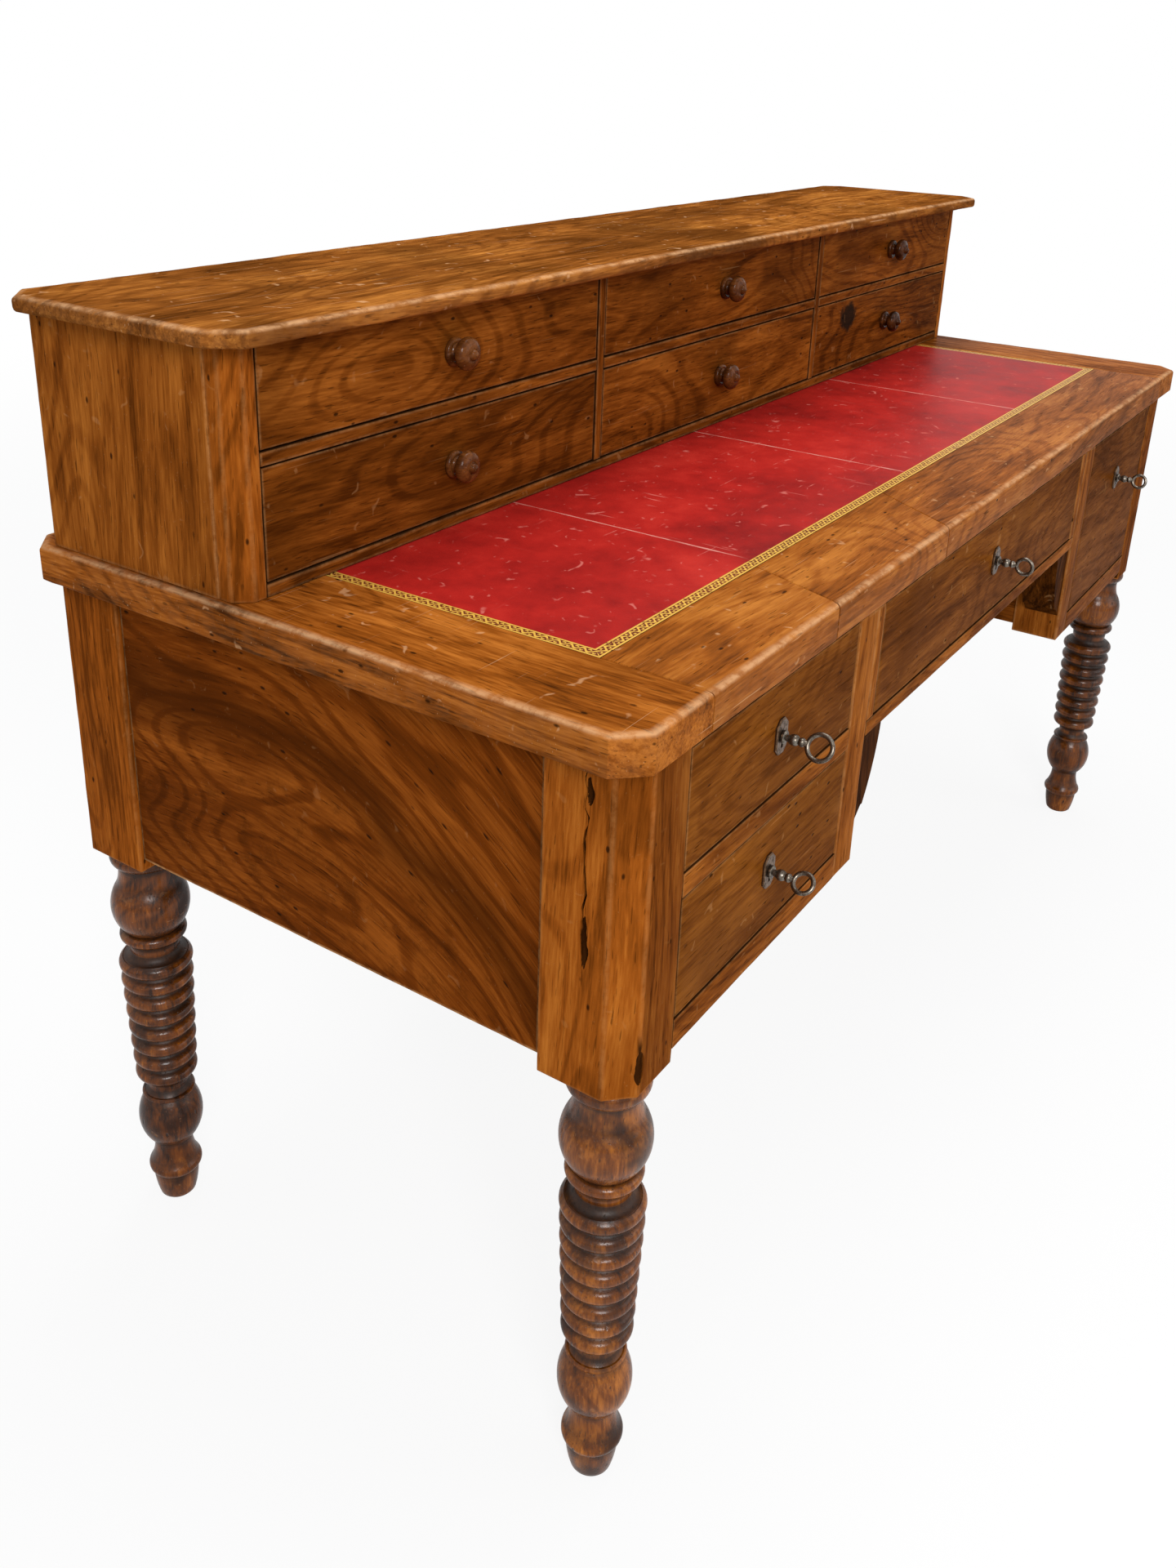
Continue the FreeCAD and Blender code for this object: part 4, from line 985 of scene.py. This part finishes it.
# %% [markdown]
# The writing surface is one sheet of red leather, pasted down, with a gold border pressed along three of
# its edges. It is a grid with a little unevenness, given a thickness. The border is painted by the
# material from the distance to the edges: two lines with a running wave and leaves between them, worn
# off in places.

# %% Leather finish
GOLD, BORDER_MIDDLE = (0.72, 0.42, 0.07), 0.0063


def leather_finish():
    paint = Paint(bpy.data.materials.new("red_leather"))
    x, y, _ = paint.place.parts()
    from_side = LEATHER_SIDE - abs(x)
    from_front = y - LEATHER_FRONT
    inward = from_side.least(from_front)
    sideways = paint.node("ShaderNodeMath", {"operation": "LESS_THAN"}, {0: from_side, 1: from_front})
    run = y * sideways + x * (1.0 - sideways)
    band = inward.fade(0.0126, 0.0121)
    line = abs(abs(inward - BORDER_MIDDLE) - 0.0049).fade(0.0012, 0.0007)
    swing = (run * 523.6).sin() * 0.0024
    wave = abs(inward - BORDER_MIDDLE - swing).fade(0.0016, 0.0009)
    leaf = abs(inward - BORDER_MIDDLE + swing).fade(0.0012, 0.0006) * abs(swing).fade(0.0013, 0.0020)
    kept = paint.noise(paint.place, 120.0, 3.0, 0.6).fade(0.28, 0.40)
    gold = line.most(wave).most(leaf) * kept * band
    cloud = paint.noise(paint.place, 6.0, 5.0, 0.6)
    mottle = paint.noise(paint.place, 34.0, 4.0, 0.6)
    colour = paint.ramp(cloud * 0.7 + mottle * 0.3, (0.33, (0.19, 0.006, 0.006)), (0.52, (0.36, 0.013, 0.010)),
                        (0.72, (0.52, 0.030, 0.020)))
    turned_place = paint.node("ShaderNodeMapping", {}, {"Vector": paint.place, "Rotation": (0.0, 0.0, 0.55),
                                                        "Scale": (18.0, 210.0, 1.0)})
    scuff = paint.noise(turned_place, 1.0, 3.0, 0.6).fade(0.66, 0.74)
    across = paint.node("ShaderNodeMapping", {}, {"Vector": paint.place, "Rotation": (0.0, 0.0, -0.35),
                                                  "Scale": (160.0, 14.0, 1.0)})
    scuff = scuff.most(paint.noise(across, 1.0, 2.0, 0.5).fade(0.70, 0.76))
    scuff = (scuff * paint.noise(paint.place, 4.5, 2.0).fade(0.42, 0.60)).most(strokes(paint, paint.place, 27.0))
    scuff = scuff.most(strokes(paint, paint.place, 52.0) * 0.8)
    seam = abs(x + 0.42).least(abs(x + 0.05)).least(abs(x - 0.34)) + (mottle - 0.5) * 0.004
    seam = abs(seam).fade(0.0016, 0.0007)
    colour = paint.mix(scuff * 0.5, colour, (0.66, 0.21, 0.17))
    colour = paint.mix(seam * cloud.fade(0.40, 0.50), colour, (0.58, 0.22, 0.18))
    colour = paint.mix(inward.fade(0.0008, 0.0003).most(band * 0.8), colour, (0.060, 0.016, 0.006))
    colour = paint.mix(gold, colour, GOLD)
    grain = paint.spots(paint.place, 620.0).fade(0.0, 0.6)
    height = grain * 0.35 + scuff * 0.2 - seam * 1.2 - band * 0.5 + mottle * 0.6
    paint.shader.inputs["Specular IOR Level"].default_value = 0.05
    return paint.apply(base_color=colour, roughness=0.40 + scuff * 0.2 - gold * 0.08 + mottle * 0.08,
                       metallic=gold * 0.2, normal=paint.relief(height, 0.0004, 0.35))


leather_red = leather_finish()
print("leather finish:", leather_red.name)

# %% Leather sheet
bpy.ops.mesh.primitive_grid_add(x_subdivisions=230, y_subdivisions=50, size=1.0)
leather = named("leather_writing_sheet")
LEATHER_TOP = 0.7696
begin_edit()
bpy.ops.transform.resize(value=(2 * LEATHER_SIDE - 0.0006, LEATHER_BACK - LEATHER_FRONT - 0.0006, 1))
bpy.ops.transform.translate(value=(0, (LEATHER_FRONT + LEATHER_BACK) / 2, LEATHER_TOP))
end_edit()
press(leather, hollows("ripples", 0.09), 0.0005, direction="Z", mid_level=0.6)
skin = leather.modifiers.new("skin", "SOLIDIFY")
skin.thickness, skin.offset = 0.0012, -1.0
bpy.ops.object.modifier_apply(modifier="skin")
finish(leather, leather_red, "desk", ["leather_sheet"])
print("leather:", len(leather.data.vertices), "vertices")

# %% [markdown]
# Boards that hardly show keep their solids: drawer boxes, runners, backs, cheeks and locks. They only need
# a better finish, put into their material slots.


# %% Solids that stay
def dress(node, material):
    for slot in nodes[node].material_slots:
        slot.material = material


for node in nodes:
    if "_box_" in node or node in ("drawer_runners", "top_core_panel"):
        dress(node, lining_wood)
    elif node in ("back_panel", "gallery_back"):
        dress(node, back_wood)
    elif node.startswith("lock_"):
        dress(node, lock_iron)
    elif node == "kneehole_cheeks":
        dress(node, walnut_y)
    elif node == "kneehole_brackets":
        # The brackets get the darker walnut: painted shade.
        dress(node, shaded_walnut)
print("solids dressed:", sum(not nodes[node].hide_render for node in nodes))

# %% [markdown]
# The desk stands on plain white. The floor is a pale sheet that keeps the desk's shadow,
# and the world is white where the camera or a reflection sees it but gives only soft light.


# %% Floor and world
def pale_floor():
    paint = Paint(bpy.data.materials.new("pale_floor"))
    paint.tree.nodes.remove(paint.shader)
    seen = paint.node("ShaderNodeLightPath", {}, {}, "Is Camera Ray")
    matt = paint.node("ShaderNodeBsdfDiffuse", {}, {"Color": (0.86, 0.86, 0.86, 1.0)})
    bright = paint.node("ShaderNodeEmission", {}, {"Color": (1.0, 1.0, 1.0, 1.0), "Strength": 1.0})
    away = paint.node("ShaderNodeVectorMath", {"operation": "LENGTH"}, {0: paint.place}, "Value")
    share = away.fade(1.2, 5.0) * 0.12 + 0.88
    both = paint.node("ShaderNodeMixShader", {}, {0: seen * share, 1: matt, 2: bright})
    paint.show(both, "Material Output")
    return paint.owner


bpy.ops.mesh.primitive_plane_add(size=60.0)
floor = named("floor")
floor.data.materials.append(pale_floor())

world = bpy.data.worlds.new("studio")
bpy.context.scene.world = world
sky = Paint(world)
sky.tree.nodes.remove(sky.tree.nodes["Background"])
by_camera, by_gloss, by_glass = [sky.node("ShaderNodeLightPath", {}, {}, f"Is {ray} Ray")
                                 for ray in ("Camera", "Glossy", "Transmission")]
soft = sky.node("ShaderNodeBackground", {}, {"Color": (0.95, 0.97, 1.0, 1.0), "Strength": 0.45})
white = sky.node("ShaderNodeBackground", {}, {"Color": (1.0, 1.0, 1.0, 1.0), "Strength": 1.0})
seen = by_camera.most(by_gloss).most(by_glass)
sky.show(sky.node("ShaderNodeMixShader", {}, {0: seen, 1: soft, 2: white}), "World Output")
print("floor and world ready")

# %% [markdown]
# Three large lamps give the soft light of a photographer's studio: one from the left front, a weaker one
# from the right, and one from above that brightens the tops.


# %% Lamps
def lamp(name, place, aim, size, power):
    bpy.ops.object.light_add(type="AREA", location=place)
    light = bpy.context.object
    light.name = name
    light.data.size = size
    light.data.energy = power
    light.rotation_euler = (Vector(aim) - Vector(place)).to_track_quat("-Z", "Y").to_euler()


lamp("key_lamp", (-2.9, -2.3, 2.6), (-0.3, 0.0, 0.6), 1.3, 95)
lamp("fill_lamp", (1.2, -3.2, 1.7), (0.1, 0.0, 0.6), 2.2, 20)
lamp("top_lamp", (0.2, 0.1, 3.2), (0.0, 0.0, 0.8), 1.6, 50)
print("lamps: three")

# %% [markdown]
# The camera stands to the left of the desk, above eye height of the gallery, and looks down along its
# front. Its place and lens were worked out from points on the desk, and the lens was then made a little
# wider so that the right end stays in the picture. The camera is slightly tilted and shifted.

# %% Camera
yaw, pitch_down, roll = math.radians(56.53), math.radians(-21.55), math.radians(1.89)
ahead = Vector((math.sin(yaw) * math.cos(pitch_down), math.cos(yaw) * math.cos(pitch_down), math.sin(pitch_down)))
level = Vector((math.cos(yaw), -math.sin(yaw), 0.0))
upward = level.cross(ahead)
right = level * math.cos(roll) + upward * math.sin(roll)
up = upward * math.cos(roll) - level * math.sin(roll)
bpy.ops.object.camera_add()
camera = bpy.context.object
camera.matrix_world = Matrix((right, up, -ahead)).transposed().to_4x4()
camera.location = (-1.48954, -0.71647, 1.19046)
camera.data.sensor_width = 36.0
camera.data.lens = 1682.0 / 1920 * 36.0
camera.data.shift_x = 12.0 / 1920
camera.data.shift_y = -(960.0 - 733.9) / 1920
bpy.context.scene.camera = camera
print("camera:", [round(v, 3) for v in camera.location], round(camera.data.lens, 2), "mm")
